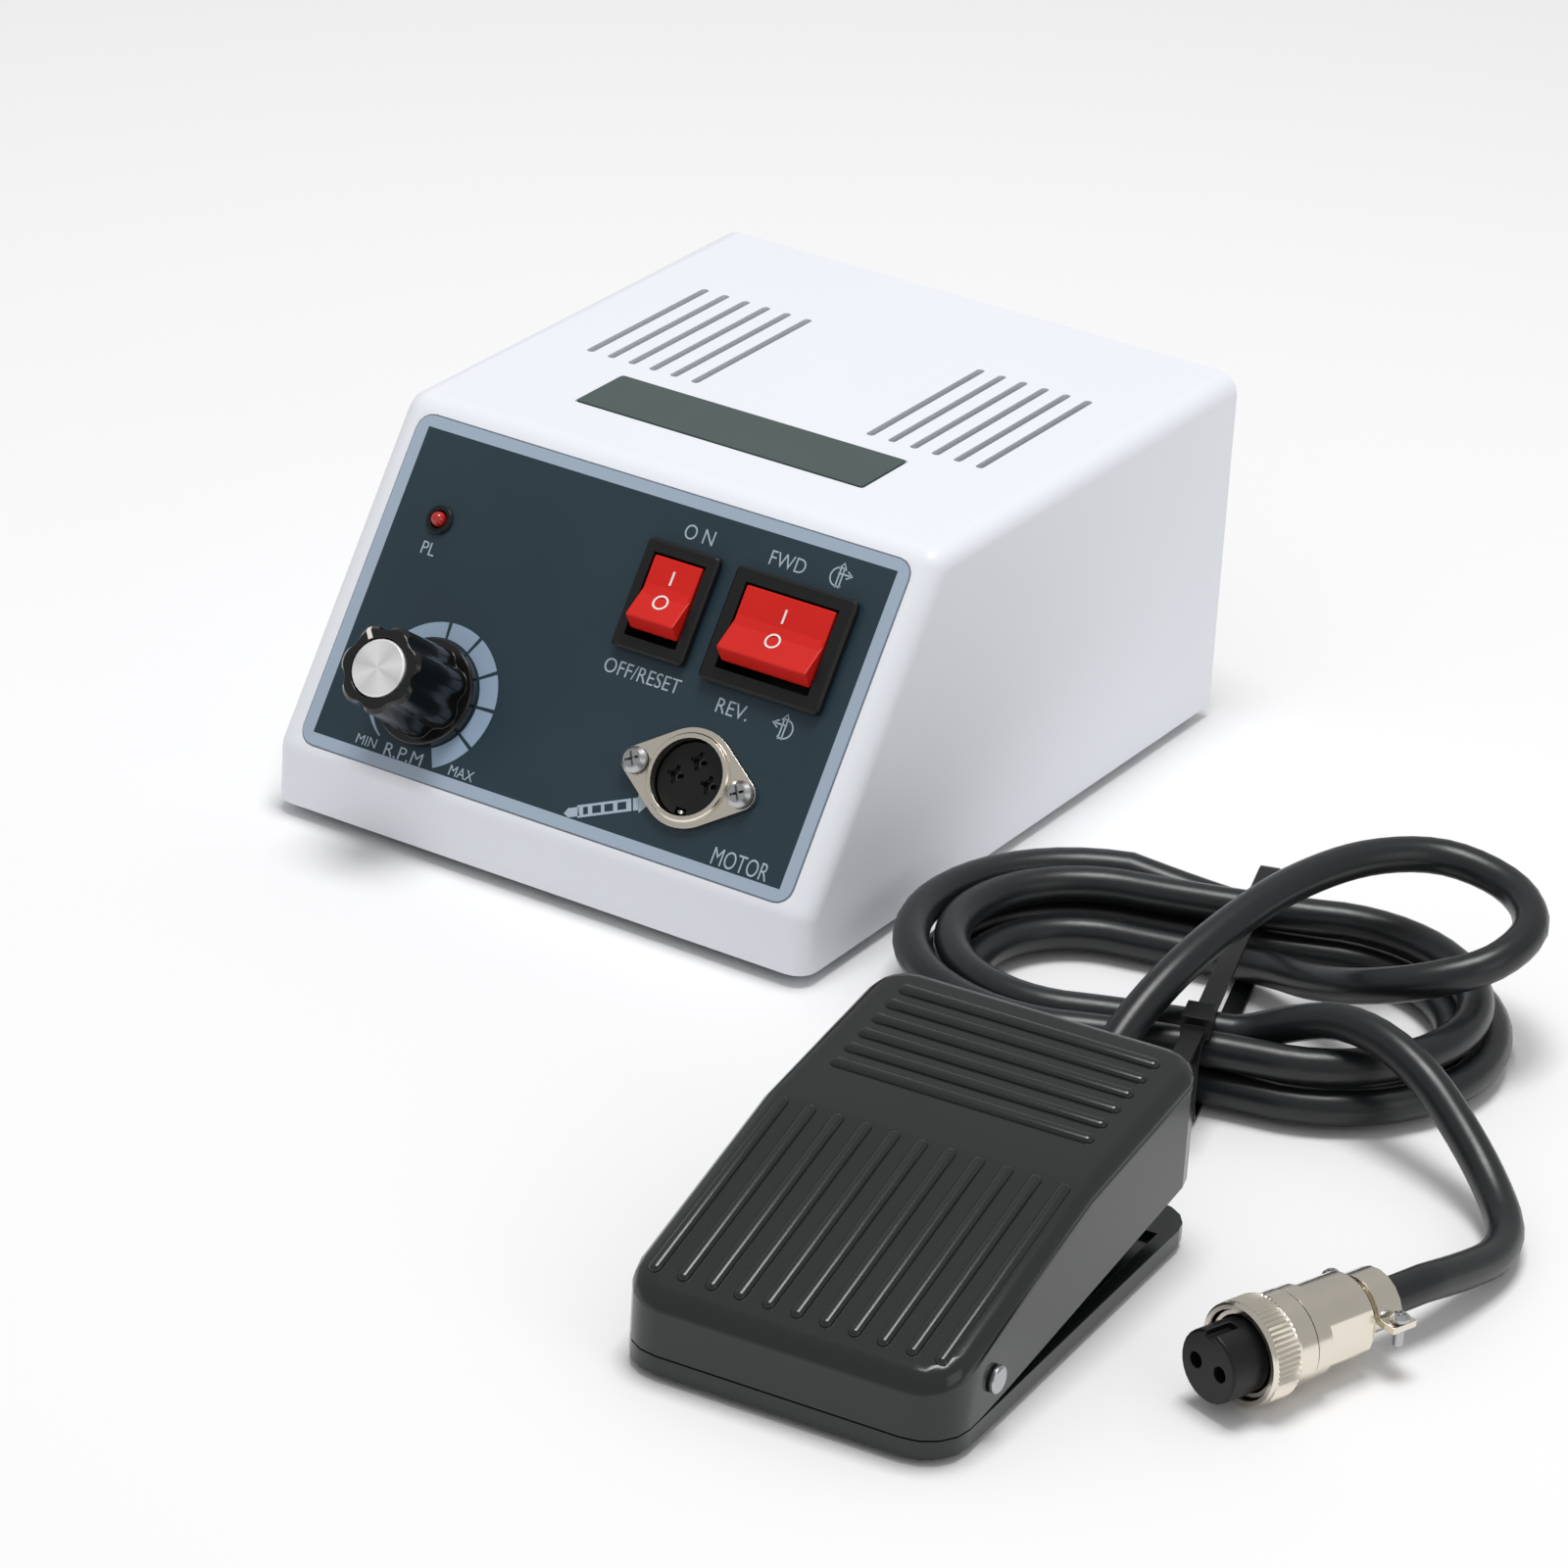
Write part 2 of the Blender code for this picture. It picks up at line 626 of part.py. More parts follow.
def case_outline(inset):
    """Side view (y, z) of the shell, moved inward by the inset."""
    sine = math.sin(SLOPE_ANGLE)
    cosine = math.cos(SLOPE_ANGLE)
    lip = LIP_HEIGHT - inset * (1 - sine) / cosine
    brow = (cosine * (CASE_HEIGHT - inset - LIP_HEIGHT) + inset) / sine
    back = CASE_DEPTH + (OVERRUN if inset else 0)
    foot = -OVERRUN if inset else 0
    corners = [(inset, foot), (inset, lip), (brow, CASE_HEIGHT - inset), (back, CASE_HEIGHT - inset)]
    radii = [0, LIP_EDGE_RADIUS - inset, TOP_EDGE_RADIUS - inset, 0, 0]
    return filleted(corners + [(back, foot)], radii)


def case_block(inset):
    """The shell's outer form, or its hollow, with the long side edges rounded."""
    half = CASE_WIDTH / 2 - inset
    mesh = extruded(case_outline(inset), -half, half, "X")
    foot = min(v.co.z for v in mesh.verts)
    back = max(v.co.y for v in mesh.verts)
    edges = []
    for edge in mesh.edges:
        first, second = (v.co for v in edge.verts)
        along_side = abs(first.x - second.x) < GAP and abs(abs(first.x) - half) < GAP
        on_foot = max(first.z, second.z) - foot < GAP
        on_back = back - min(first.y, second.y) < GAP
        if along_side and not on_foot and not on_back:
            edges.append(edge)
    return bevelled(mesh, SIDE_EDGE_RADIUS - inset, edges, segments=ROUND_STEPS)


def control_matrix():
    """Places the slope's own frame: x right, y up the slope, z out of it."""
    return Matrix.Translation((0, 0, LIP_HEIGHT)) @ rotation_x(SLOPE_ANGLE)


def panel_openings():
    """Cutters for what passes through the slope, in the slope's frame."""
    depth = -CASE_WALL - OVERRUN
    openings = [
        (circle(POT_BUSH_RADIUS + GAP), KNOB_X, KNOB_S),
        (circle(LAMP_RADIUS + LAMP_SLEEVE_WALL + 2 * GAP, BOSS_SIDES), LAMP_X, LAMP_S),
        (circle(SOCKET_BORE_RADIUS + SOCKET_CAN_WALL + GAP, BORE_SIDES), SOCKET_X, SOCKET_S),
    ]
    for side in (-1, 1):
        hole = circle(SOCKET_SCREW_RADIUS + GAP, PIN_SIDES)
        openings.append((hole, SOCKET_X + side * SOCKET_SCREW_PITCH / 2, SOCKET_S))
    for x, s, bezel in ((POWER_X, POWER_S, POWER_BEZEL), (DIRECTION_X, DIRECTION_S, DIRECTION_BEZEL)):
        width = bezel[0] - 2 * SWITCH_BODY_MARGIN + 2 * GAP
        length = bezel[1] - 2 * SWITCH_BODY_MARGIN + 2 * GAP
        openings.append((rounded_rectangle(width, length, BEZEL_CORNER), x, s))
    return joined(shifted(extruded(outline, depth, OVERRUN), x, s) for outline, x, s in openings)


def screw_places():
    half = CASE_WIDTH / 2 - CASE_WALL - BOSS_RADIUS + OVERRUN
    rows = (BOSS_FROM_FRONT, CASE_DEPTH - BOSS_FROM_BACK)
    return [(side * half, y) for y in rows for side in (-1, 1)]


def vent_cutters():
    slots = []
    for side in (-1, 1):
        for index in range(VENT_COUNT):
            centre = (side * (VENT_INNER_X + index * VENT_PITCH), VENT_FRONT + VENT_LENGTH / 2)
            outline = rounded_rectangle(VENT_WIDTH, VENT_LENGTH, VENT_WIDTH / 2 - GAP / 2, centre, 2)
            slots.append(extruded(outline, CASE_HEIGHT - CASE_WALL - OVERRUN, CASE_HEIGHT + OVERRUN))
    return joined(slots)


def top_shell(case):
    label = rounded_rectangle(
        LABEL_WIDTH + 2 * GAP, LABEL_LENGTH + 2 * GAP, LABEL_CORNER + GAP, (0, label_middle())
    )
    label_recess = moved(extruded(label, -PLATE_RECESS, OVERRUN), control_matrix())
    plate = rounded_rectangle(
        NAMEPLATE_WIDTH + 2 * GAP, NAMEPLATE_LENGTH + 2 * GAP, PLATE_CORNER, (0, NAMEPLATE_CENTRE_Y), 2
    )
    plate_recess = extruded(plate, CASE_HEIGHT - PLATE_RECESS, CASE_HEIGHT + OVERRUN)
    bosses = []
    holes = []
    for x, y in screw_places():
        bosses.append(shifted(rod(BOSS_RADIUS, BASE_THICKNESS + GAP, BOSS_TOP, BOSS_SIDES), x, y))
        holes.append(shifted(rod(CASE_SCREW_RADIUS + GAP, 0, CASE_SCREW_LENGTH + OVERRUN), x, y))
    shell = piece("top_shell", case_block(0), "case_plastic", case)
    for operation, operand in (
        ("DIFFERENCE", case_block(CASE_WALL)),
        ("UNION", joined(bosses)),
        ("DIFFERENCE", joined(holes)),
        ("DIFFERENCE", label_recess),
        ("DIFFERENCE", moved(panel_openings(), control_matrix())),
        ("DIFFERENCE", plate_recess),
        ("DIFFERENCE", vent_cutters()),
    ):
        boolean(shell, operation, operand)


def board_corners():
    half_x = BOARD_WIDTH / 2 - STANDOFF_INSET
    half_y = BOARD_LENGTH / 2 - STANDOFF_INSET
    return [(BOARD_X + sx * half_x, BOARD_Y + sy * half_y) for sx in (-1, 1) for sy in (-1, 1)]


def base_plate(case):
    width = CASE_WIDTH - 2 * (CASE_WALL + GAP)
    length = CASE_DEPTH - CASE_WALL - GAP
    centre = (0, CASE_DEPTH - length / 2)
    outline = rounded_rectangle(width, length, SIDE_EDGE_RADIUS - CASE_WALL + GAP, centre)
    posts = []
    for x, y in board_corners():
        post = rod(STANDOFF_RADIUS, BASE_THICKNESS / 2, BASE_THICKNESS + STANDOFF_HEIGHT)
        posts.append(shifted(post, x, y))
    holes = []
    for x, y in screw_places():
        holes.append(shifted(rod(CASE_SCREW_RADIUS + GAP, -OVERRUN, BASE_THICKNESS + OVERRUN), x, y))
    mesh = extruded(outline, 0, BASE_THICKNESS)
    piece("base_plate", mesh, "black_plastic", case, add=[joined(posts)], cut=[joined(holes)])


def rear_face():
    return CASE_DEPTH - REAR_PANEL_INSET


def rear_panel(case):
    width = CASE_WIDTH - 2 * (CASE_WALL + GAP)
    bottom = BASE_THICKNESS + GAP
    top = CASE_HEIGHT - CASE_WALL - GAP
    radius = SIDE_EDGE_RADIUS - CASE_WALL + GAP
    outline = rounded_rectangle(width, top - bottom, radius, (0, (top + bottom) / 2))
    inlet = rounded_rectangle(
        INLET_BODY[0] + 2 * GAP, INLET_BODY[1] + 2 * GAP, OVERRUN, (INLET_X, INLET_Z), 2
    )
    fuse = circle(FUSE_BODY_RADIUS + GAP, centre=(FUSE_X, FUSE_Z))
    socket = circle(PEDAL_SOCKET_THREAD_RADIUS + GAP, centre=(PEDAL_SOCKET_X, PEDAL_SOCKET_Z))
    inner = rear_face() - REAR_PANEL_THICKNESS
    holes = []
    for shape in (inlet, fuse, socket):
        holes.append(extruded(shape, inner - OVERRUN, rear_face() + OVERRUN, "Y"))
    mesh = extruded(outline, inner, rear_face(), "Y")
    piece("rear_panel", mesh, "black_plastic", case, cut=[joined(holes)])


def feet(case):
    half = CASE_WIDTH / 2 - FOOT_FROM_SIDE
    rows = (FOOT_FROM_FRONT, CASE_DEPTH - FOOT_FROM_BACK)
    places = [(side * half, y) for y in rows for side in (-1, 1)]
    profile = [
        (FOOT_DIMPLE_RADIUS, FOOT_DIMPLE_DEPTH - FOOT_HEIGHT),
        (FOOT_DIMPLE_RADIUS, -FOOT_HEIGHT),
        (FOOT_TREAD_RADIUS, -FOOT_HEIGHT),
        (FOOT_RADIUS, -GAP),
    ]
    for number, (x, y) in enumerate(places, 1):
        piece(f"foot_{number}", turned(profile, FOOT_SIDES), "rubber", case, at=(x, y, 0))


def pan_screw(name, parent, at, radius, length, head_radius, head_height, turn=(0, 0, 0)):
    """Pan-head screw: the shank runs down from z = 0, the head stands on it."""
    tip = radius / 2
    profile = [
        (tip, -length),
        (radius, tip - length),
        (radius, 0),
        (head_radius, 0),
        (head_radius, head_height / 2),
        (head_radius - head_height / 2, head_height),
    ]
    piece(name, turned(profile, BOSS_SIDES), "steel", parent, at=at, turn=turn)


def case_screws(case):
    for number, (x, y) in enumerate(screw_places(), 1):
        pan_screw(
            f"case_screw_{number}", case, (x, y, -GAP), CASE_SCREW_RADIUS, CASE_SCREW_LENGTH,
            CASE_SCREW_HEAD_RADIUS, CASE_SCREW_HEAD_HEIGHT, turn=(math.pi, 0, 0),
        )


def nameplate(case):
    outline = rounded_rectangle(
        NAMEPLATE_WIDTH, NAMEPLATE_LENGTH, PLATE_CORNER, (0, NAMEPLATE_CENTRE_Y), 2
    )
    bottom = CASE_HEIGHT - PLATE_RECESS + GAP
    piece("nameplate", extruded(outline, bottom, bottom + PLATE_THICKNESS), "label_film", case)


# Control face

def label_middle():
    return LABEL_START_S + LABEL_LENGTH / 2


def front_label(face):
    outline = rounded_rectangle(LABEL_WIDTH, LABEL_LENGTH, LABEL_CORNER, (0, label_middle()))
    mesh = extruded(outline, LABEL_TOP - PLATE_THICKNESS, LABEL_TOP)
    piece("front_label", mesh, "label_film", face, cut=[panel_openings()])


def pilot_lamp(face):
    bore = LAMP_RADIUS + GAP
    sleeve = bore + LAMP_SLEEVE_WALL
    top = SEAT + LAMP_FLANGE_HEIGHT
    edge = LAMP_FLANGE_HEIGHT / 2
    holder = [
        (bore, top),
        (LAMP_FLANGE_RADIUS - edge, top),
        (LAMP_FLANGE_RADIUS, top - edge),
        (LAMP_FLANGE_RADIUS, SEAT),
        (sleeve, SEAT),
        (sleeve, -LAMP_SLEEVE_DEPTH),
        (bore, -LAMP_SLEEVE_DEPTH),
    ]
    at = (LAMP_X, LAMP_S, 0)
    piece("lamp_holder", turned(holder, FOOT_SIDES, closed=True), "black_plastic", face, at=at)
    dome = [(LAMP_RADIUS, LAMP_PROUD - LAMP_LENGTH)]
    dome += arc((0, LAMP_PROUD - LAMP_RADIUS), LAMP_RADIUS, 0, math.radians(75))
    piece("pilot_lamp", turned(dome, BOSS_SIDES), "red_lens", face, at=at)


def hexagon(flats):
    return circle(flats / math.sqrt(3), 6)


def potentiometer(face, axis):
    bore = POT_SHAFT_RADIUS + GAP
    under = -CASE_WALL - GAP
    profile = [
        (POT_BODY_RADIUS, under - POT_BODY_DEPTH),
        (POT_BODY_RADIUS, under),
        (POT_BUSH_RADIUS, under),
        (POT_BUSH_RADIUS, POT_BUSH_TOP),
        (bore, POT_BUSH_TOP),
        (bore, under - POT_SHAFT_SEAT),
    ]
    at = (KNOB_X, KNOB_S, 0)
    piece("speed_potentiometer", turned(profile), "aluminium", face, at=at)
    nut = extruded(hexagon(POT_NUT_FLATS), SEAT, SEAT + POT_NUT_HEIGHT)
    hole = rod(POT_BUSH_RADIUS + GAP, 0, SEAT + POT_NUT_HEIGHT + OVERRUN, FOOT_SIDES)
    piece("potentiometer_nut", nut, "steel", face, at=at, cut=[hole])
    shaft_bottom = under - POT_SHAFT_SEAT + GAP
    shaft = rod(POT_SHAFT_RADIUS, shaft_bottom, SEAT + POT_SHAFT_IN_KNOB, FOOT_SIDES)
    piece("potentiometer_shaft", shaft, "aluminium", axis)


def lobed(radius, height, depth=KNOB_FLUTE_DEPTH):
    """One ring of the knob: rounded lobes with a flute between each pair."""
    ring = []
    count = KNOB_LOBES * KNOB_POINTS_PER_LOBE
    for i in range(count):
        angle = 2 * math.pi * i / count
        reach = radius - depth * math.cos(KNOB_LOBES * angle / 2) ** 4
        ring.append(Vector((reach * math.cos(angle), reach * math.sin(angle), height)))
    return ring


def speed_knob(axis):
    """Fluted knob on a skirt, hollow below for the nut and bored for the shaft."""
    bottom = SEAT + GAP
    skirt = bottom + KNOB_SKIRT_HEIGHT
    top = bottom + KNOB_HEIGHT
    body = KNOB_LOBE_RADIUS
    crown = KNOB_LOBE_RADIUS - KNOB_TOP_TAPER
    recess = KNOB_CAP_RADIUS + GAP
    hollow_top = POT_BUSH_TOP + GAP
    rings = [
        lobed(POT_SHAFT_RADIUS + GAP, SEAT + POT_SHAFT_IN_KNOB + GAP, 0),
        lobed(POT_SHAFT_RADIUS + GAP, hollow_top, 0),
        lobed(KNOB_HOLLOW_RADIUS, hollow_top, 0),
        lobed(KNOB_HOLLOW_RADIUS, bottom, 0),
        lobed(KNOB_SKIRT_RADIUS, bottom, 0),
        lobed(KNOB_SKIRT_RADIUS, skirt - GAP, 0),
        lobed(KNOB_SKIRT_RADIUS - GAP, skirt, 0),
        lobed(body, skirt),
        lobed(crown, top - KNOB_CHAMFER),
        lobed(crown - KNOB_CHAMFER, top, KNOB_FLUTE_DEPTH / 2),
        lobed(recess, top, 0),
        lobed(recess, top - KNOB_CAP_DEPTH - GAP, 0),
    ]
    piece("speed_knob", loft(rings), "black_plastic", axis)
    cap_top = top + KNOB_CAP_PROUD
    profile = [
        (KNOB_CAP_RADIUS, top - KNOB_CAP_DEPTH),
        (KNOB_CAP_RADIUS, cap_top - KNOB_CAP_CHAMFER),
        (KNOB_CAP_RADIUS - KNOB_CAP_CHAMFER, cap_top),
    ]
    piece("knob_cap", turned(profile, BORE_SIDES), "aluminium", axis)


def rocker_outline(window_length):
    """Side view (s, z) of a rocker about its pivot: a shallow V above, a keel below."""
    sine = math.sin(ROCKER_TILT)
    cosine = math.cos(ROCKER_TILT)
    valley = ROCKER_FACE / cosine
    pressed_end = window_length / 2 - ROCKER_CLEARANCE
    half = (pressed_end - valley * sine) * cosine
    rim = valley + half * math.tan(ROCKER_TILT)
    foot = (half + ROCKER_END_DEPTH * sine, rim - ROCKER_END_DEPTH * cosine)
    keel = (pressed_end * ROCKER_KEEL_SHARE, -ROCKER_KEEL)
    right = [(half, rim), foot, keel]
    left = [(-u, v) for u, v in reversed(right)]
    return [(0, valley)] + right + left


def rocker_switch(face, name, x, s, bezel, window, blades):
    """Housing with its bezel, pocket and blade terminals, and the rocker in it."""
    top = SEAT + BEZEL_HEIGHT
    frame = extruded(rounded_rectangle(*bezel, BEZEL_CORNER), SEAT, top)
    frame = bevelled(frame, BEZEL_CHAMFER, segments=1)
    width = bezel[0] - 2 * SWITCH_BODY_MARGIN
    length = bezel[1] - 2 * SWITCH_BODY_MARGIN
    depth = SWITCH_BODY_DEPTH + SEAT + BEZEL_HEIGHT / 2
    middle = (SEAT + BEZEL_HEIGHT / 2 - SWITCH_BODY_DEPTH) / 2
    body = block((width, length, depth), (0, 0, middle))
    pocket_depth = SWITCH_POCKET_DEPTH + top + OVERRUN
    pocket = block((*window, pocket_depth), (0, 0, top + OVERRUN - pocket_depth / 2))
    columns, rows = blades
    terminals = []
    for column in range(columns):
        for row in range(rows):
            place = (
                (column - (columns - 1) / 2) * width / columns,
                (row - (rows - 1) / 2) * length / rows,
                -SWITCH_BODY_DEPTH - BLADE_LENGTH / 2 + OVERRUN,
            )
            terminals.append(block((BLADE_WIDTH, BLADE_THICKNESS, BLADE_LENGTH), place))
    piece(
        f"{name}_switch_body", frame, "black_plastic", face, at=(x, s, 0),
        add=[body, joined(terminals)], cut=[pocket],
    )
    half = window[0] / 2 - ROCKER_CLEARANCE
    rocker = extruded(rocker_outline(window[1]), -half, half, "X")
    rocker = bevelled(rocker, ROCKER_EDGE, angle=math.radians(20))
    piece(
        f"{name}_rocker", rocker, "red_plastic", face,
        at=(x, s, top - ROCKER_PIVOT_DEPTH), turn=(-ROCKER_TILT, 0, 0),
    )


def flange_outline():
    """Round flange drawn out to two screw lugs by straight tangents."""
    pitch = SOCKET_SCREW_PITCH / 2
    tangent = math.acos((SOCKET_FLANGE_RADIUS - SOCKET_LUG_RADIUS) / pitch)
    lug_steps = 2 * ROUND_STEPS
    ring_steps = 3 * ROUND_STEPS
    outline = arc((pitch, 0), SOCKET_LUG_RADIUS, -tangent, tangent, lug_steps)
    outline += arc((0, 0), SOCKET_FLANGE_RADIUS, tangent, math.pi - tangent, ring_steps)
    outline += arc((-pitch, 0), SOCKET_LUG_RADIUS, math.pi - tangent, math.pi + tangent, lug_steps)
    outline += arc((0, 0), SOCKET_FLANGE_RADIUS, math.pi + tangent, 2 * math.pi - tangent, ring_steps)
    return outline


def motor_socket(face):
    plate_top = SEAT + SOCKET_FLANGE_THICKNESS
    ring_top = plate_top + SOCKET_RING_HEIGHT
    can = SOCKET_BORE_RADIUS + SOCKET_CAN_WALL
    profile = [
        (can, -SOCKET_CAN_DEPTH),
        (can, SEAT + SOCKET_EDGE),
        (SOCKET_RING_RADIUS, SEAT + SOCKET_EDGE),
        (SOCKET_RING_RADIUS, ring_top - SOCKET_EDGE),
        (SOCKET_RING_RADIUS - SOCKET_EDGE, ring_top),
    ]
    barrel = turned(profile, SOCKET_SIDES)
    bore = rod(SOCKET_BORE_RADIUS, -SOCKET_CAN_DEPTH - OVERRUN, ring_top + OVERRUN, SOCKET_SIDES)
    lug_holes = []
    for side in (-1, 1):
        hole = rod(SOCKET_SCREW_RADIUS + GAP, 0, plate_top + OVERRUN)
        lug_holes.append(shifted(hole, side * SOCKET_SCREW_PITCH / 2))
    at = (SOCKET_X, SOCKET_S, 0)
    piece(
        "motor_socket_flange", extruded(flange_outline(), SEAT, plate_top), "nickel", face, at=at,
        add=[barrel], cut=[bore, joined(lug_holes)],
    )
    insert_top = ring_top - SOCKET_RECESS
    contacts = []
    for angle in SOCKET_CONTACT_ANGLES:
        direction = math.radians(angle)
        x = SOCKET_CONTACT_CIRCLE * math.cos(direction)
        y = SOCKET_CONTACT_CIRCLE * math.sin(direction)
        hole = rod(SOCKET_CONTACT_RADIUS, insert_top - SOCKET_CONTACT_DEPTH, insert_top + OVERRUN)
        contacts.append(shifted(hole, x, y))
    key = block(
        (SOCKET_KEY[0], SOCKET_KEY[1], 2 * SOCKET_CONTACT_DEPTH),
        (0, SOCKET_KEY[1] / 2 - SOCKET_BORE_RADIUS, insert_top),
    )
    radius = SOCKET_BORE_RADIUS - GAP
    insert = rod(radius, GAP - SOCKET_CAN_DEPTH, insert_top, SOCKET_SIDES)
    piece("motor_socket_insert", insert, "black_plastic", face, at=at, cut=[joined(contacts), key])
    for number, side in enumerate((-1, 1), 1):
        pan_screw(
            f"socket_screw_{number}", face,
            (SOCKET_X + side * SOCKET_SCREW_PITCH / 2, SOCKET_S, plate_top + GAP),
            SOCKET_SCREW_RADIUS, SOCKET_SCREW_LENGTH, SOCKET_SCREW_HEAD_RADIUS, SOCKET_SCREW_HEAD_HEIGHT,
        )


# Inside the case

def transformer(case):
    """Laminated core with two windows and the winding round its middle leg."""
    bottom = BASE_THICKNESS + GAP
    at = (CORE_X, CASE_DEPTH - CORE_FROM_BACK, bottom)
    outline = rounded_rectangle(CORE_WIDTH, CORE_HEIGHT, GAP, (0, CORE_HEIGHT / 2), 1)
    core = extruded(outline, -CORE_STACK / 2, CORE_STACK / 2, "Y")
    window_width = (CORE_WIDTH - 4 * CORE_LEG) / 2
    window_height = CORE_HEIGHT - 2 * CORE_LEG
    windows = []
    for side in (-1, 1):
        centre = (side * (CORE_LEG + window_width / 2), 0, CORE_HEIGHT / 2)
        windows.append(block((window_width, CORE_STACK + 2 * OVERRUN, window_height), centre))
    piece("transformer_core", core, "core_steel", case, at=at, cut=[joined(windows)])
    coil_width = 2 * (CORE_LEG + window_width - GAP)
    coil_outline = rounded_rectangle(coil_width, COIL_DEPTH, 2 * OVERRUN)
    low = CORE_LEG + GAP
    high = CORE_HEIGHT - CORE_LEG - GAP
    tunnel_size = (2 * (CORE_LEG + GAP), CORE_STACK + 2 * GAP, CORE_HEIGHT)
    tunnel = block(tunnel_size, (0, 0, CORE_HEIGHT / 2))
    coil = extruded(coil_outline, low, high)
    piece("transformer_coil", coil, "winding_tape", case, at=at, cut=[tunnel])


def circuit_board(case):
    bottom = BASE_THICKNESS + STANDOFF_HEIGHT + GAP
    top = bottom + BOARD_THICKNESS
    board = block((BOARD_WIDTH, BOARD_LENGTH, BOARD_THICKNESS), (BOARD_X, BOARD_Y, (bottom + top) / 2))
    piece("circuit_board", board, "board", case)
    seat = top + GAP
    groove = CAPACITOR_HEIGHT - CAPACITOR_RADIUS / 2
    can = [
        (CAPACITOR_RADIUS, 0),
        (CAPACITOR_RADIUS, groove - CAPACITOR_GROOVE),
        (CAPACITOR_RADIUS - CAPACITOR_GROOVE, groove),
        (CAPACITOR_RADIUS, groove + CAPACITOR_GROOVE),
        (CAPACITOR_RADIUS, CAPACITOR_HEIGHT - CAPACITOR_GROOVE),
        (CAPACITOR_RADIUS - CAPACITOR_GROOVE, CAPACITOR_HEIGHT),
    ]
    at = (BOARD_X, BOARD_FROM_FRONT + BOARD_LENGTH * CAPACITOR_PLACE_SHARE, seat)
    piece("filter_capacitor", turned(can), "label_film", case, at=at)
    back = BOARD_FROM_FRONT + BOARD_LENGTH * SINK_PLACE_SHARE
    half = SINK_WIDTH / 2
    outline = [(-half, 0), (half, 0)]
    pitch = (SINK_WIDTH - SINK_FIN_THICKNESS) / (SINK_FINS - 1)
    for index in reversed(range(SINK_FINS)):
        left = index * pitch - half
        right = left + SINK_FIN_THICKNESS
        valley = [(right, SINK_BASE)] if index < SINK_FINS - 1 else []
        outline += valley + [(right, SINK_DEPTH), (left, SINK_DEPTH)]
        outline += [(left, SINK_BASE)] if index else []
    piece("heat_sink", extruded(outline, 0, SINK_HEIGHT), "aluminium", case, at=(BOARD_X, back, seat))
    tab_x, tab_y, tab_z = TRANSISTOR_TAB
    body_x, body_y, body_z = TRANSISTOR_BODY
    leg_x, leg_y, leg_z = TRANSISTOR_LEG
    tab = block(TRANSISTOR_TAB, (0, -GAP - tab_y / 2, leg_z + tab_z / 2))
    body = block(TRANSISTOR_BODY, (0, -GAP - tab_y / 2 - body_y / 2, leg_z + body_z / 2))
    legs = []
    for side in (-1, 0, 1):
        centre = (side * TRANSISTOR_LEG_PITCH, -GAP - tab_y / 2 - body_y / 2, leg_z / 2 + OVERRUN / 2)
        legs.append(block((leg_x, leg_y, leg_z + OVERRUN), centre))
    at = (BOARD_X, back, seat)
    piece("power_transistor", tab, "black_plastic", case, at=at, add=[body, joined(legs)])


# Rear panel

def mains_inlet(case):
    """Snap-in appliance inlet: flange outside, body through the panel, three pins in its mouth."""
    outer = rear_face() + GAP + INLET_FLANGE_THICKNESS
    flange = extruded(
        rounded_rectangle(*INLET_FLANGE, OVERRUN, (INLET_X, INLET_Z), 2), rear_face() + GAP, outer, "Y"
    )
    inner = rear_face() - INLET_BODY_DEPTH
    body = extruded(
        rounded_rectangle(*INLET_BODY, OVERRUN / 2, (INLET_X, INLET_Z), 1), inner, outer - OVERRUN, "Y"
    )
    half_x = INLET_MOUTH[0] / 2
    half_z = INLET_MOUTH[1] / 2
    cut = INLET_MOUTH_CHAMFER
    mouth = [
        (-half_x, -half_z), (half_x, -half_z), (half_x, half_z - cut),
        (half_x - cut, half_z), (cut - half_x, half_z), (-half_x, half_z - cut),
    ]
    floor = outer - INLET_MOUTH_DEPTH
    mouth = extruded([(INLET_X + u, INLET_Z + v) for u, v in mouth], floor, outer + OVERRUN, "Y")
    pins = []
    for side, rise in ((-1, 0), (1, 0), (0, INLET_EARTH_RISE)):
        centre = (
            INLET_X + side * INLET_PIN_SPACING,
            floor + INLET_PIN_LENGTH / 2 - OVERRUN / 2,
            INLET_Z + 2 * rise - INLET_EARTH_RISE,
        )
        pins.append(block((INLET_PIN[0], INLET_PIN_LENGTH + OVERRUN, INLET_PIN[1]), centre))
    inlet = piece("mains_inlet", flange, "black_plastic", case, add=[body], cut=[mouth])
    boolean(inlet, "UNION", joined(pins))


def toothed(radius, height, depth, teeth, points):
    """Ring with a notch at the first of every few points."""
    ring = []
    for i in range(teeth * points):
        angle = 2 * math.pi * i / (teeth * points)
        reach = radius - (0 if i % points else depth)
        ring.append(Vector((reach * math.cos(angle), reach * math.sin(angle), height)))
    return ring


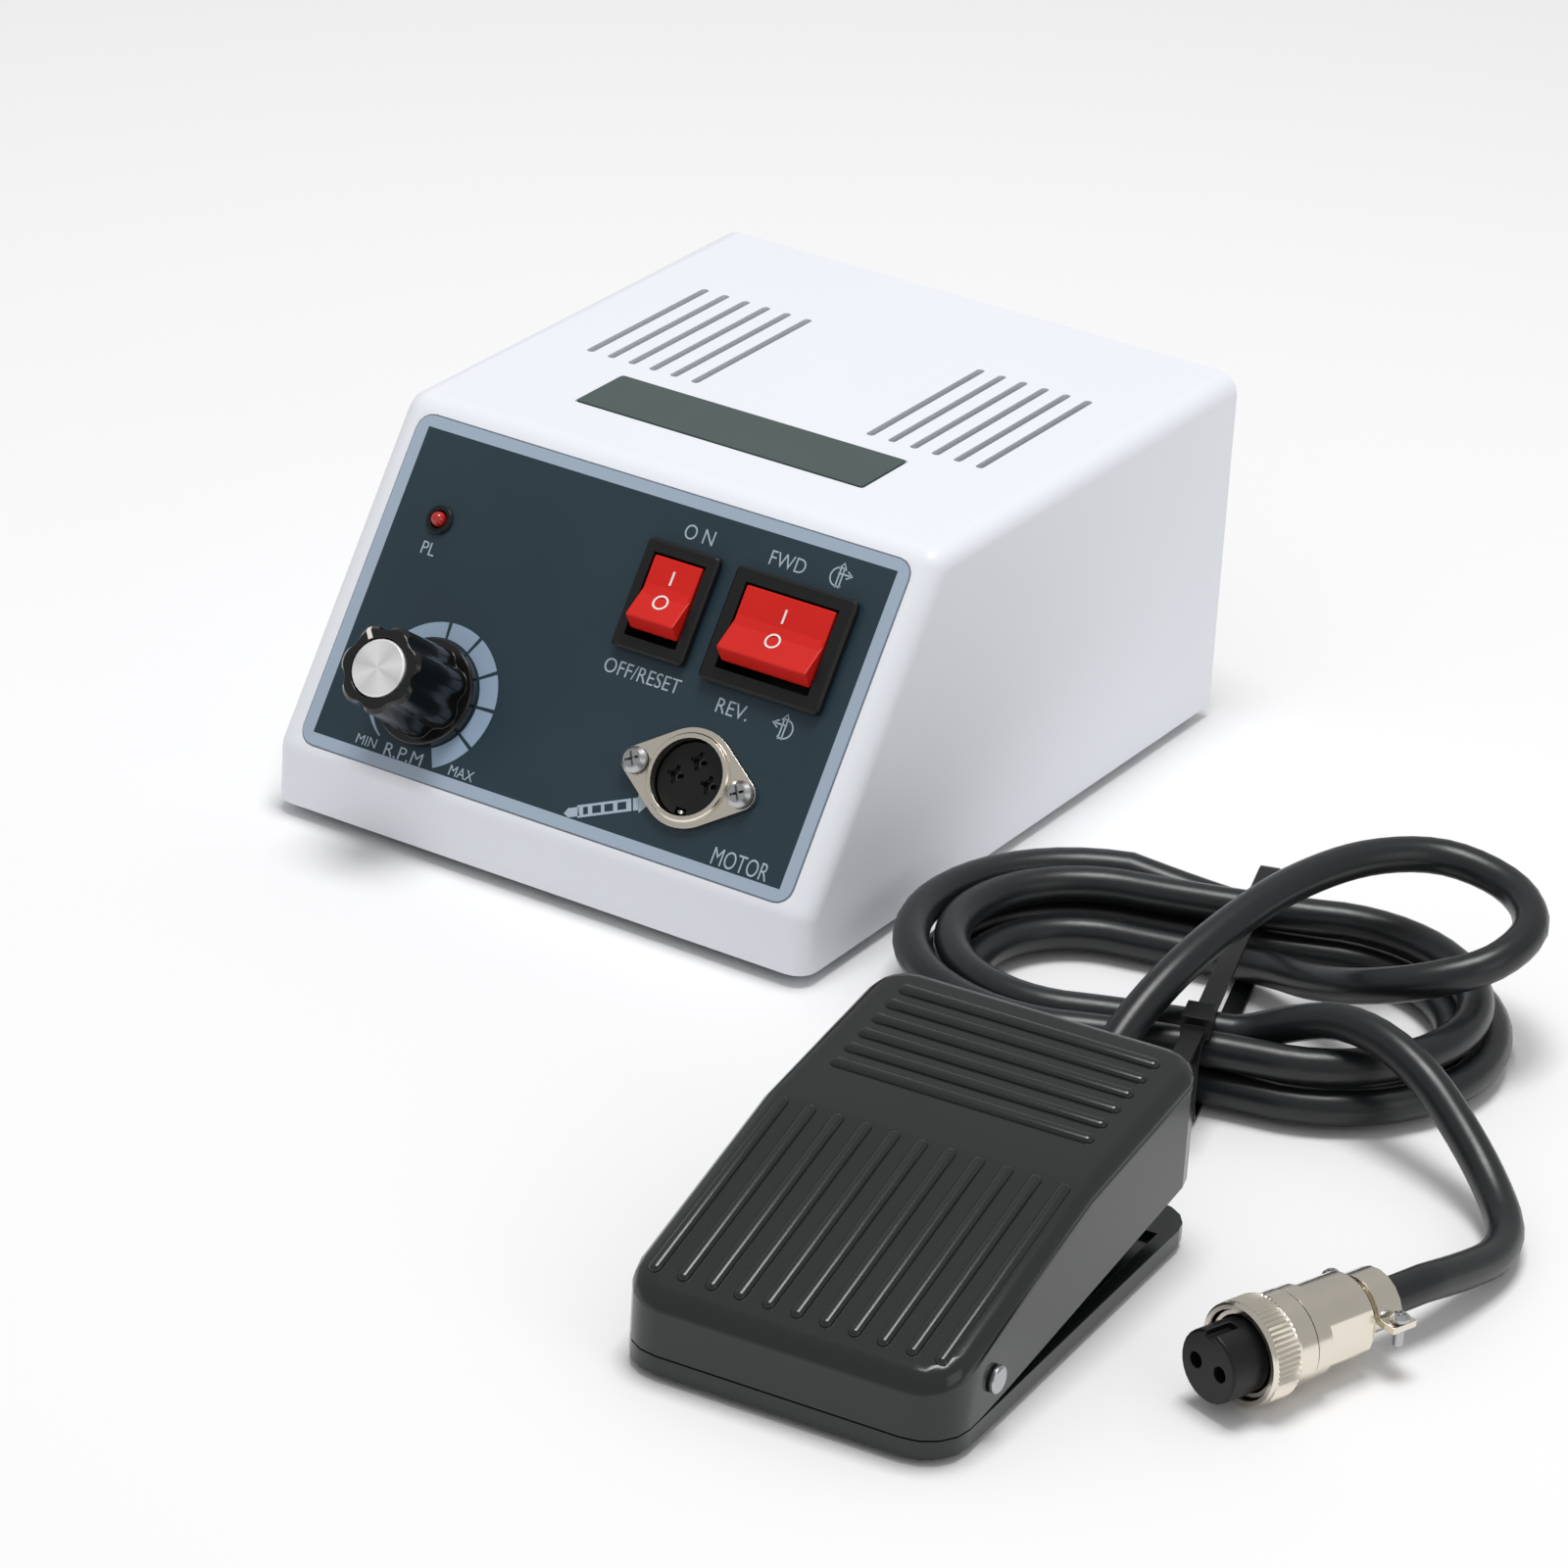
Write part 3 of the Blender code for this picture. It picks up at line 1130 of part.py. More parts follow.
def fuse(case):
    """Fuse holder through the panel, with its fluted bayonet cap."""
    at = (FUSE_X, rear_face(), FUSE_Z)
    outward = (-math.pi / 2, 0, 0)
    top = GAP + FUSE_FLANGE_THICKNESS
    holder = [
        (FUSE_BODY_RADIUS, -FUSE_BODY_DEPTH),
        (FUSE_BODY_RADIUS, GAP),
        (FUSE_FLANGE_RADIUS, GAP),
        (FUSE_FLANGE_RADIUS, top - GAP),
        (FUSE_FLANGE_RADIUS - GAP, top),
        (FUSE_BORE_RADIUS, top),
        (FUSE_BORE_RADIUS, top - FUSE_BORE_DEPTH),
    ]
    piece("fuse_holder", turned(holder), "black_plastic", case, at=at, turn=outward)
    shank = FUSE_BORE_RADIUS - GAP
    seat = top + GAP
    end = seat + FUSE_CAP_LENGTH
    cap = loft([
        toothed(shank, top - FUSE_CAP_SHANK, 0, FUSE_CAP_FLUTES, 3),
        toothed(shank, seat, 0, FUSE_CAP_FLUTES, 3),
        toothed(FUSE_CAP_RADIUS, seat, FUSE_CAP_FLUTE, FUSE_CAP_FLUTES, 3),
        toothed(FUSE_CAP_RADIUS, end - FUSE_CAP_FLUTE, FUSE_CAP_FLUTE, FUSE_CAP_FLUTES, 3),
        toothed(FUSE_CAP_RADIUS - FUSE_CAP_FLUTE, end, FUSE_CAP_FLUTE, FUSE_CAP_FLUTES, 3),
    ])
    slot = block(
        (2 * FUSE_CAP_RADIUS + OVERRUN, FUSE_CAP_SLOT[0], 2 * FUSE_CAP_SLOT[1]), (0, 0, end)
    )
    piece("fuse_cap", cap, "black_plastic", case, at=at, turn=outward, cut=[slot])


def pedal_socket(case):
    """Threaded panel socket for the pedal's plug, with its flange, nut and two pins."""
    at = (PEDAL_SOCKET_X, rear_face(), PEDAL_SOCKET_Z)
    outward = (-math.pi / 2, 0, 0)
    thread = PEDAL_SOCKET_THREAD_RADIUS
    flange_top = GAP + PEDAL_SOCKET_FLANGE_THICKNESS
    bore = PLUG_INSERT_RADIUS + GAP
    floor = PEDAL_SOCKET_OUTSIDE - PEDAL_SOCKET_BORE_DEPTH
    profile = [
        (thread, -PEDAL_SOCKET_INSIDE),
        (thread, GAP),
        (PEDAL_SOCKET_FLANGE_RADIUS, GAP),
        (PEDAL_SOCKET_FLANGE_RADIUS, flange_top),
        (thread, flange_top),
        (thread, PEDAL_SOCKET_OUTSIDE - GAP),
        (thread - GAP, PEDAL_SOCKET_OUTSIDE),
        (bore, PEDAL_SOCKET_OUTSIDE),
        (bore, floor),
    ]
    pins = []
    for side in (-1, 1):
        pin = rod(PEDAL_SOCKET_PIN_RADIUS, floor - OVERRUN, floor + PEDAL_SOCKET_PIN_LENGTH)
        pins.append(shifted(pin, side * PLUG_HOLE_SPREAD / 2))
    body = turned(profile, BORE_SIDES)
    piece("pedal_socket", body, "nickel", case, at=at, turn=outward, add=[joined(pins)])
    top = -REAR_PANEL_THICKNESS - GAP
    nut = extruded(hexagon(PEDAL_SOCKET_NUT_FLATS), top - PEDAL_SOCKET_NUT_HEIGHT, top)
    hole = rod(thread + GAP, top - PEDAL_SOCKET_NUT_HEIGHT - OVERRUN, top + OVERRUN, BORE_SIDES)
    piece("pedal_socket_nut", nut, "nickel", case, at=at, turn=outward, cut=[hole])


# Foot pedal; its own frame starts at the front left corner on the floor

def plan_ring(inset, height):
    """Pedal's plan outline moved inward, each point raised to height(y)."""
    half = PEDAL_WIDTH / 2
    front = PEDAL_FRONT_CORNER
    rear = PEDAL_REAR_CORNER
    right = arc((half - front, front), front - inset, -math.pi / 2, 0)
    right += [(half - inset, COVER_BREAK_Y * share) for share in COVER_SIDE_SHARES]
    right += arc((half - rear, PEDAL_LENGTH - rear), rear - inset, 0, math.pi / 2)
    left = [(-u, v) for u, v in reversed(right)]
    return [Vector((half + u, v, height(v))) for u, v in right + left]


def cap_strips(mesh, loop):
    """Closes a symmetric ring with strips from side to side, so that the face can bend."""
    count = len(loop) // 2
    for i in range(count - 1):
        mesh.faces.new((loop[i], loop[i + 1], loop[-2 - i], loop[-1 - i]))


def cover_top(y):
    if y < COVER_BREAK_Y:
        return COVER_FRONT_HEIGHT + (COVER_BREAK_HEIGHT - COVER_FRONT_HEIGHT) * y / COVER_BREAK_Y
    rise = (COVER_REAR_HEIGHT - COVER_BREAK_HEIGHT) / (PEDAL_LENGTH - COVER_BREAK_Y)
    return COVER_BREAK_HEIGHT + rise * (y - COVER_BREAK_Y)


def cover_seam(y):
    seam = PEDAL_BASE_TOP + GAP
    share = max(0.0, y - COVER_SEAM_FLAT) / (PEDAL_LENGTH - COVER_SEAM_FLAT)
    return seam + share * (COVER_SEAM_REAR - seam)


def rib(width, length, angle, place):
    """One rib lying on a slope: its foot is sunk in, its crest narrower and shorter."""
    corner = min(width, length) * RIB_CORNER_SHARE
    taper = min(width, length) * RIB_TAPER_SHARE
    foot = rounded_rectangle(width, length, corner, steps=2)
    crest = rounded_rectangle(width - taper, length - taper, corner - taper / 2, steps=2)
    mesh = loft([
        [Vector((u, v, -RIB_HEIGHT)) for u, v in foot],
        [Vector((u, v, 0)) for u, v in foot],
        [Vector((u, v, RIB_HEIGHT)) for u, v in crest],
    ])
    return moved(mesh, Matrix.Translation(place) @ rotation_x(angle))


def ribs():
    """Long ribs up the toe slope and cross ribs on the heel."""
    middle = PEDAL_WIDTH / 2
    toe_angle = math.atan2(COVER_BREAK_HEIGHT - COVER_FRONT_HEIGHT, COVER_BREAK_Y)
    toe_length = (TOE_RIB_END - TOE_RIB_START) / math.cos(toe_angle)
    toe_y = (TOE_RIB_START + TOE_RIB_END) / 2
    made = []
    for index in range(TOE_RIB_COUNT):
        x = middle + (index - (TOE_RIB_COUNT - 1) / 2) * TOE_RIB_PITCH
        made.append(rib(TOE_RIB_WIDTH, toe_length, toe_angle, (x, toe_y, cover_top(toe_y))))
    heel_angle = math.atan2(COVER_REAR_HEIGHT - COVER_BREAK_HEIGHT, PEDAL_LENGTH - COVER_BREAK_Y)
    for index in range(HEEL_RIB_COUNT):
        y = HEEL_RIB_LAST_Y - index * HEEL_RIB_PITCH
        made.append(rib(HEEL_RIB_LENGTH, HEEL_RIB_WIDTH, heel_angle, (middle, y, cover_top(y))))
    return joined(made)


def pedal_cover(hinge):
    """Moulded treadle: a shell with a broken top, ribs, pin holes and a notch for the gland."""
    mesh = bmesh.new()
    radius = COVER_EDGE_RADIUS
    rings = [plan_ring(0, cover_seam)]
    for point in arc((0, 0), radius, 0, math.pi / 2, ROUND_STEPS - 1):
        inset = radius - point[0]
        drop = radius - point[1]
        rings.append(plan_ring(inset, lambda y, drop=drop: cover_top(y) - drop))
    roof = COVER_WALL / math.cos(math.atan2(COVER_BREAK_HEIGHT - COVER_FRONT_HEIGHT, COVER_BREAK_Y))
    inner = [
        plan_ring(COVER_WALL, cover_seam),
        plan_ring(COVER_WALL, lambda y: cover_top(y) - roof),
    ]
    outer_loops = [[mesh.verts.new(point) for point in ring] for ring in rings]
    inner_loops = [[mesh.verts.new(point) for point in ring] for ring in inner]
    chain = outer_loops[::-1] + inner_loops
    for first, second in zip(chain, chain[1:]):
        for i in range(len(first)):
            j = (i + 1) % len(first)
            mesh.faces.new((first[i], first[j], second[j], second[i]))
    cap_strips(mesh, outer_loops[-1])
    cap_strips(mesh, inner_loops[-1])
    bmesh.ops.recalc_face_normals(mesh, faces=mesh.faces)
    bore = circle(HINGE_PIN_RADIUS + GAP, BOSS_SIDES, (HINGE_Y, HINGE_Z))
    pin_holes = extruded(bore, -OVERRUN, PEDAL_WIDTH + OVERRUN, "X")
    notch_bottom = cover_seam(PEDAL_LENGTH) - COVER_WALL
    notch = block(
        (2 * (SADDLE_HALF_WIDTH + OVERRUN), 2 * PEDAL_BASE_WALL, NOTCH_TOP - notch_bottom),
        (PEDAL_WIDTH / 2, PEDAL_LENGTH, (NOTCH_TOP + notch_bottom) / 2),
    )
    parts = [mesh, ribs(), pin_holes, notch]
    for part in parts:
        shifted(part, 0, -HINGE_Y, -HINGE_Z)
    piece("pedal_cover", mesh, "pedal_plastic", hinge, add=[parts[1]], cut=parts[2:])


def base_bottom():
    return PEDAL_MAT_THICKNESS + GAP


def tray_floor():
    return base_bottom() + PEDAL_BASE_FLOOR


def hinge_lug_spans():
    inner = COVER_WALL + 2 * GAP
    right = PEDAL_WIDTH - inner
    return [(inner, inner + HINGE_LUG_THICKNESS), (right - HINGE_LUG_THICKNESS, right)]


def gland_height():
    return base_bottom() + GLAND_FLANGE_RADIUS


def pedal_base(pedal):
    """Tray with a rear ledge, two hinge lugs, a spring post and a saddle for the gland."""
    plan = [(p.x, p.y) for p in plan_ring(0, lambda y: 0)]
    mesh = extruded(plan, base_bottom(), PEDAL_BASE_TOP)
    inside = [(p.x, p.y) for p in plan_ring(PEDAL_BASE_WALL, lambda y: 0)]
    back = PEDAL_LENGTH - PEDAL_LEDGE
    inside = [(x, min(y, back)) for x, y in inside]
    inside = [p for i, p in enumerate(inside) if p != inside[i - 1]]
    corner = [i for i, (x, y) in enumerate(inside) if y == back]
    inside = [p for i, p in enumerate(inside) if i not in corner[1:-1]]
    hollow = extruded(inside, tray_floor(), PEDAL_BASE_TOP + OVERRUN)
    root = tray_floor() - OVERRUN
    lug = [(HINGE_Y - HINGE_LUG_RADIUS, root), (HINGE_Y + HINGE_LUG_RADIUS, root)]
    lug += arc((HINGE_Y, HINGE_Z), HINGE_LUG_RADIUS, 0, math.pi, 2 * ROUND_STEPS)
    lugs = [extruded(lug, start, end, "X") for start, end in hinge_lug_spans()]
    post = rod(SPRING_POST_RADIUS, root, tray_floor() + SPRING_POST_HEIGHT, BOSS_SIDES)
    post = shifted(post, PEDAL_WIDTH / 2, SPRING_Y)
    saddle_front = PEDAL_LENGTH - GLAND_LENGTH + GAP
    saddle_back = PEDAL_LENGTH - OVERRUN
    saddle = block(
        (2 * SADDLE_HALF_WIDTH, saddle_back - saddle_front, SADDLE_RISE + OVERRUN),
        (PEDAL_WIDTH / 2, (saddle_front + saddle_back) / 2, PEDAL_BASE_TOP + (SADDLE_RISE - OVERRUN) / 2),
    )
    bore = circle(HINGE_PIN_RADIUS + GAP, BOSS_SIDES, (HINGE_Y, HINGE_Z))
    pin_holes = extruded(bore, COVER_WALL, PEDAL_WIDTH - COVER_WALL, "X")
    cradle = circle(GLAND_RADIUS + GAP, centre=(PEDAL_WIDTH / 2, gland_height()))
    cradle = extruded(cradle, PEDAL_LENGTH - GLAND_LENGTH - GAP, PEDAL_LENGTH + OVERRUN, "Y")
    base = piece("pedal_base", mesh, "pedal_plastic", pedal)
    for operation, operand in (
        ("DIFFERENCE", hollow),
        ("UNION", joined(lugs + [post, saddle])),
        ("DIFFERENCE", pin_holes),
        ("DIFFERENCE", cradle),
    ):
        boolean(base, operation, operand)
    mat = [(p.x, p.y) for p in plan_ring(PEDAL_MAT_INSET, lambda y: 0)]
    piece("pedal_mat", extruded(mat, 0, PEDAL_MAT_THICKNESS), "rubber", pedal)


def hinge_pin(pedal):
    seat = PEDAL_WIDTH + GAP
    profile = [
        (HINGE_PIN_RADIUS, GAP),
        (HINGE_PIN_RADIUS, seat),
        (HINGE_HEAD_RADIUS, seat),
        (HINGE_HEAD_RADIUS, seat + HINGE_HEAD_THICKNESS - GAP),
        (HINGE_HEAD_RADIUS - GAP, seat + HINGE_HEAD_THICKNESS),
    ]
    pin = turned(profile, FOOT_SIDES)
    piece("hinge_pin", pin, "steel", pedal, at=(0, HINGE_Y, HINGE_Z), turn=(0, math.pi / 2, 0))


def cord_gland(pedal):
    profile = [
        (GLAND_RADIUS, -GLAND_LENGTH),
        (GLAND_RADIUS, GAP),
        (GLAND_FLANGE_RADIUS, GAP),
        (GLAND_FLANGE_RADIUS, GLAND_FLANGE_THICKNESS - GAP),
        (GLAND_FLANGE_RADIUS - GAP, GLAND_FLANGE_THICKNESS),
    ]
    at = (PEDAL_WIDTH / 2, PEDAL_LENGTH, gland_height())
    piece("cord_gland", turned(profile), "rubber", pedal, at=at, turn=(-math.pi / 2, 0, 0))


def tube(name, points, look, parent, resolution, radius=CORD_RADIUS):
    """Round tube along a polyline, with filled ends."""
    curve = bpy.data.curves.new(name, "CURVE")
    curve.dimensions = "3D"
    curve.bevel_depth = radius
    curve.bevel_resolution = resolution
    curve.use_fill_caps = True
    spline = curve.splines.new("POLY")
    spline.points.add(len(points) - 1)
    for point, place in zip(spline.points, points):
        point.co = (*place, 1.0)
    curve.materials.append(material(look))
    made = bpy.data.objects.new(name, curve)
    bpy.context.collection.objects.link(made)
    made.parent = parent
    return made


def return_spring(pedal):
    bottom = tray_floor() + GAP + SPRING_WIRE
    front = SPRING_Y - SPRING_RADIUS - SPRING_WIRE
    top = cover_top(front) - 2 * GAP - COVER_WALL - SPRING_WIRE
    points = []
    count = SPRING_TURNS * SPRING_POINTS_PER_TURN
    for i in range(count + 1):
        angle = 2 * math.pi * i / SPRING_POINTS_PER_TURN
        x = PEDAL_WIDTH / 2 + SPRING_RADIUS * math.cos(angle)
        y = SPRING_Y + SPRING_RADIUS * math.sin(angle)
        points.append(Vector((x, y, bottom + (top - bottom) * i / count)))
    tube("return_spring", points, "steel", pedal, 1, SPRING_WIRE)


def foot_switch(pedal):
    """Snap switch in the tray and the lever that the treadle pushes down."""
    width, length, height = MICROSWITCH_SIZE
    bottom = tray_floor() + GAP
    top = bottom + height
    middle = PEDAL_WIDTH / 2
    body = block(MICROSWITCH_SIZE, (middle, MICROSWITCH_Y, bottom + height / 2))
    body = bevelled(body, GAP, segments=1)
    pivot_y = MICROSWITCH_Y - length / 2 + LEVER_FROM_FRONT + LEVER_PIVOT_RADIUS
    pivot_z = top + GAP + LEVER_PIVOT_RADIUS
    plunger = rod(PLUNGER_RADIUS, top - OVERRUN, top + PLUNGER_HEIGHT)
    plunger = shifted(plunger, middle, pivot_y + PLUNGER_FROM_PIVOT)
    piece("foot_switch_body", body, "black_plastic", pedal, add=[plunger])
    under = cover_top(pivot_y + LEVER_LENGTH) - COVER_WALL - LEVER_SLACK - 2 * GAP
    rise = under - LEVER_TIP_RADIUS - pivot_z
    angle = math.asin(rise / LEVER_LENGTH)
    half = LEVER_WIDTH / 2
    thick = LEVER_THICKNESS / 2
    root = extruded(circle(LEVER_PIVOT_RADIUS, PIN_SIDES), -half, half, "X")
    blade = block((LEVER_WIDTH, LEVER_LENGTH, 2 * thick), (0, LEVER_LENGTH / 2, 0))
    tip = circle(LEVER_TIP_RADIUS, PIN_SIDES, (LEVER_LENGTH, 0))
    tip = extruded(tip, thick - half, half - thick, "X")
    piece(
        "foot_switch_lever", blade, "steel", pedal,
        at=(middle, pivot_y, pivot_z), turn=(angle, 0, 0), add=[root, tip],
    )


# Pedal cord

def smooth_points(route, step):
    """Evenly spaced points on a smooth curve through the route's points."""
    fine = []
    padded = [2 * route[0] - route[1]] + route + [2 * route[-1] - route[-2]]
    for before, start, end, after in zip(padded, padded[1:], padded[2:], padded[3:]):
        first = (end - before) / 2
        second = (after - start) / 2
        for i in range(SPAN_STEPS):
            t = i / SPAN_STEPS
            fine.append(
                start * (2 * t**3 - 3 * t**2 + 1) + end * (3 * t**2 - 2 * t**3)
                + first * (t**3 - 2 * t**2 + t) + second * (t**3 - t**2)
            )
    fine.append(route[-1])
    lengths = [0.0]
    for a, b in zip(fine, fine[1:]):
        lengths.append(lengths[-1] + (b - a).length)
    count = max(2, round(lengths[-1] / step))
    points = []
    place = 0
    for i in range(count + 1):
        target = lengths[-1] * i / count
        while place < len(fine) - 2 and lengths[place + 1] < target:
            place += 1
        span = lengths[place + 1] - lengths[place]
        points.append(fine[place].lerp(fine[place + 1], (target - lengths[place]) / span))
    return points


def hank_point(turn, radius, height):
    """Point of a long loop: half a turn is one round end and then one run, drawn in at the waist."""
    half_turn = 2 * (turn % 1.0)
    side = 1 if half_turn < 1 else -1
    share = half_turn % 1.0
    if share < HANK_END_SHARE:
        angle = math.pi * (share / HANK_END_SHARE - 1 / 2)
        x = HANK_HALF_RUN + radius * math.cos(angle)
        return Vector((side * x, side * radius * math.sin(angle), height))
    along = (share - HANK_END_SHARE) / (1 - HANK_END_SHARE)
    x = HANK_HALF_RUN * (1 - 2 * along)
    waist = 1 - HANK_WAIST_SHARE * (1 - (x / HANK_HALF_RUN) ** 2)
    return Vector((side * x, side * radius * waist, height))


def hank_floor():
    return TIE_THICKNESS + GAP + CORD_RADIUS


def hank_outer_radius():
    return HANK_INNER_RADIUS + HANK_STEP * (HANK_CLIMB_START - HANK_START_TURN)


def hank_path():
    """Winds out in the lower layer, climbs along the back run, winds in above."""
    low = hank_floor()
    outer = hank_outer_radius()
    turns = HANK_END_TURN - HANK_START_TURN
    count = round(turns * HANK_POINTS_PER_TURN)
    points = []
    for i in range(count + 1):
        turn = HANK_START_TURN + turns * i / count
        if turn <= HANK_CLIMB_START:
            radius = HANK_INNER_RADIUS + HANK_STEP * (turn - HANK_START_TURN)
            points.append(hank_point(turn, radius, low))
        elif turn < HANK_CLIMB_END:
            climbed = (turn - HANK_CLIMB_START) / (HANK_CLIMB_END - HANK_CLIMB_START)
            points.append(hank_point(turn, outer, low + climbed * HANK_LAYER_RISE))
        else:
            radius = outer - HANK_STEP * (turn - HANK_CLIMB_END)
            points.append(hank_point(turn, radius, low + HANK_LAYER_RISE))
    return points


def pedal_to_hank():
    """Takes points of the pedal's frame to the hank's frame."""
    pedal = Matrix.Translation((PEDAL_X, PEDAL_Y, 0)) @ Matrix.Rotation(PEDAL_YAW, 4, "Z")
    hank = Matrix.Translation((HANK_X, HANK_Y, 0)) @ Matrix.Rotation(HANK_YAW, 4, "Z")
    return hank.inverted() @ pedal


def plug_to_hank():
    plug = Matrix.Translation((PLUG_X, PLUG_Y, PLUG_RING_RADIUS)) @ Matrix.Rotation(PLUG_YAW, 4, "Z")
    hank = Matrix.Translation((HANK_X, HANK_Y, 0)) @ Matrix.Rotation(HANK_YAW, 4, "Z")
    return hank.inverted() @ plug


def straight_run(start, direction):
    """Start of a cord that leaves a face squarely for one diameter."""
    heading = direction.normalized()
    return [start + heading * GAP, start + heading * (GAP + 2 * CORD_RADIUS)]


def cord_points(start, route, finish):
    """Joins the two straight ends by a smooth curve through the route."""
    after_start = 2 * start[1] - start[0].lerp(start[1], 1 / 2)
    before_finish = 2 * finish[1] - finish[0].lerp(finish[1], 1 / 2)
    middle = [start[1], after_start] + [Vector(point) for point in route]
    middle += [before_finish, finish[1]]
    return [start[0]] + smooth_points(middle, CORD_POINT_STEP) + [finish[0]]


def cord(hank):
    """The cord from the pedal's gland to the plug, in three stretches that meet end to end."""
    turns = hank_path()
    tube("cord_hank", turns, "cord_jacket", hank, 1)
    along = Vector((0, 1, 0))
    from_pedal = pedal_to_hank()
    gland_end = Vector((PEDAL_WIDTH / 2, PEDAL_LENGTH + GLAND_FLANGE_THICKNESS, gland_height()))
    lead = straight_run(from_pedal @ gland_end, from_pedal.to_3x3() @ along)
    join = straight_run(turns[0], turns[0] - turns[1])
    tube("cord_lead", cord_points(lead, LEAD_ROUTE, join), "cord_jacket", hank, 2)
    from_plug = plug_to_hank()
    sleeve_end = Vector((0, PLUG_LENGTH, 0))
    plug_end = straight_run(from_plug @ sleeve_end, from_plug.to_3x3() @ along)
    leave = straight_run(turns[-1], turns[-1] - turns[-2])
    tube("cord_tail", cord_points(leave, TAIL_ROUTE, plug_end), "cord_jacket", hank, 2)


def cable_tie(hank):
    """Flat band round the hank's waist, with its head and a short tail."""
    reach = hank_outer_radius() + CORD_RADIUS + GAP
    top = hank_floor() + HANK_LAYER_RISE + CORD_RADIUS + GAP
    centre = (0, (TIE_THICKNESS + top) / 2)
    inner = rounded_rectangle(2 * reach, top - TIE_THICKNESS, TIE_CORNER, centre)
    grown = 2 * TIE_THICKNESS
    outline = rounded_rectangle(
        2 * reach + grown, top - TIE_THICKNESS + grown, TIE_CORNER + TIE_THICKNESS, centre
    )
    start = TIE_AT - TIE_WIDTH / 2
    end = TIE_AT + TIE_WIDTH / 2
    band = loft(
        [
            [Vector((start, u, v)) for u, v in outline],
            [Vector((end, u, v)) for u, v in outline],
            [Vector((end, u, v)) for u, v in inner],
            [Vector((start, u, v)) for u, v in inner],
        ],
        closed=True,
    )
    head_x, head_y, head_z = TIE_HEAD
    head_place = (TIE_AT, head_y - reach, top + TIE_THICKNESS / 2 + head_z / 2)
    head = block(TIE_HEAD, head_place)
    tail = block(
        (TIE_WIDTH, TIE_TAIL_LENGTH, TIE_THICKNESS),
        (TIE_AT, head_place[1] - head_y / 2 - TIE_TAIL_LENGTH / 2 + OVERRUN, head_place[2]),
    )
    piece("cable_tie", band, "black_plastic", hank, add=[head, tail])


# Plug; its own frame has y running back from the coupling ring's face

def along_axis(mesh):
    """Turns a solid built on +Z so that it lies along +Y."""
    return moved(mesh, rotation_x(-math.pi / 2))


def plug(holder):
    insert = [
        (PLUG_INSERT_RADIUS - GAP, -PLUG_INSERT_PROUD),
        (PLUG_INSERT_RADIUS, GAP - PLUG_INSERT_PROUD),
        (PLUG_INSERT_RADIUS, PLUG_INSERT_DEPTH),
    ]
    holes = []
    for side in (-1, 1):
        hole = rod(PLUG_HOLE_RADIUS, -PLUG_INSERT_PROUD - OVERRUN, PLUG_HOLE_DEPTH - PLUG_INSERT_PROUD)
        holes.append(along_axis(shifted(hole, side * PLUG_HOLE_SPREAD / 2)))
    key = block(
        (PLUG_KEY[0], 2 * PLUG_HOLE_DEPTH, 2 * PLUG_KEY[1]), (0, -PLUG_INSERT_PROUD, PLUG_INSERT_RADIUS)
    )
    core = along_axis(turned(insert, PLUG_SIDES))
    piece("plug_insert", core, "black_plastic", holder, cut=[joined(holes), key])
    band_start = PLUG_RING_LENGTH + GAP
    band_end = band_start + PLUG_BAND_LENGTH
    bore = PLUG_INSERT_RADIUS + GAP
    body = [
        (bore, PLUG_INSERT_DEPTH + GAP),
        (bore, OVERRUN),
        (PLUG_TUBE_RADIUS, OVERRUN),
        (PLUG_TUBE_RADIUS, band_start),
        (PLUG_BAND_RADIUS, band_start),
        (PLUG_BAND_RADIUS, band_end),
        (PLUG_BODY_RADIUS, band_end + GAP),
        (PLUG_BODY_RADIUS, PLUG_BODY_END - OVERRUN),
        (PLUG_BODY_RADIUS - OVERRUN, PLUG_BODY_END),
        (PLUG_SLEEVE_RADIUS, PLUG_BODY_END),
        (PLUG_SLEEVE_RADIUS, PLUG_LENGTH),
    ]
    flats = []
    for side in (-1, 1):
        length = PLUG_BODY_END - band_end - OVERRUN
        centre = (
            side * (PLUG_FLAT_HALF_WIDTH + PLUG_BODY_RADIUS / 2), band_end + OVERRUN / 2 + length / 2, 0
        )
        flats.append(block((PLUG_BODY_RADIUS, length, 2 * PLUG_BODY_RADIUS), centre))
    piece("plug_body", along_axis(turned(body, PLUG_SIDES)), "nickel", holder, cut=[joined(flats)])
    tooth = PLUG_RING_TOOTH
    rings = [
        toothed(PLUG_RING_BORE, 0, 0, PLUG_RING_TEETH, 2),
        toothed(PLUG_RING_RADIUS - 2 * tooth, 0, 0, PLUG_RING_TEETH, 2),
        toothed(PLUG_RING_RADIUS, tooth, tooth, PLUG_RING_TEETH, 2),
        toothed(PLUG_RING_RADIUS, PLUG_RING_LENGTH - tooth, tooth, PLUG_RING_TEETH, 2),
        toothed(PLUG_RING_RADIUS - 2 * tooth, PLUG_RING_LENGTH, 0, PLUG_RING_TEETH, 2),
        toothed(PLUG_RING_BORE, PLUG_RING_LENGTH, 0, PLUG_RING_TEETH, 2),
    ]
    piece("coupling_ring", along_axis(loft(rings, closed=True)), "nickel", holder)


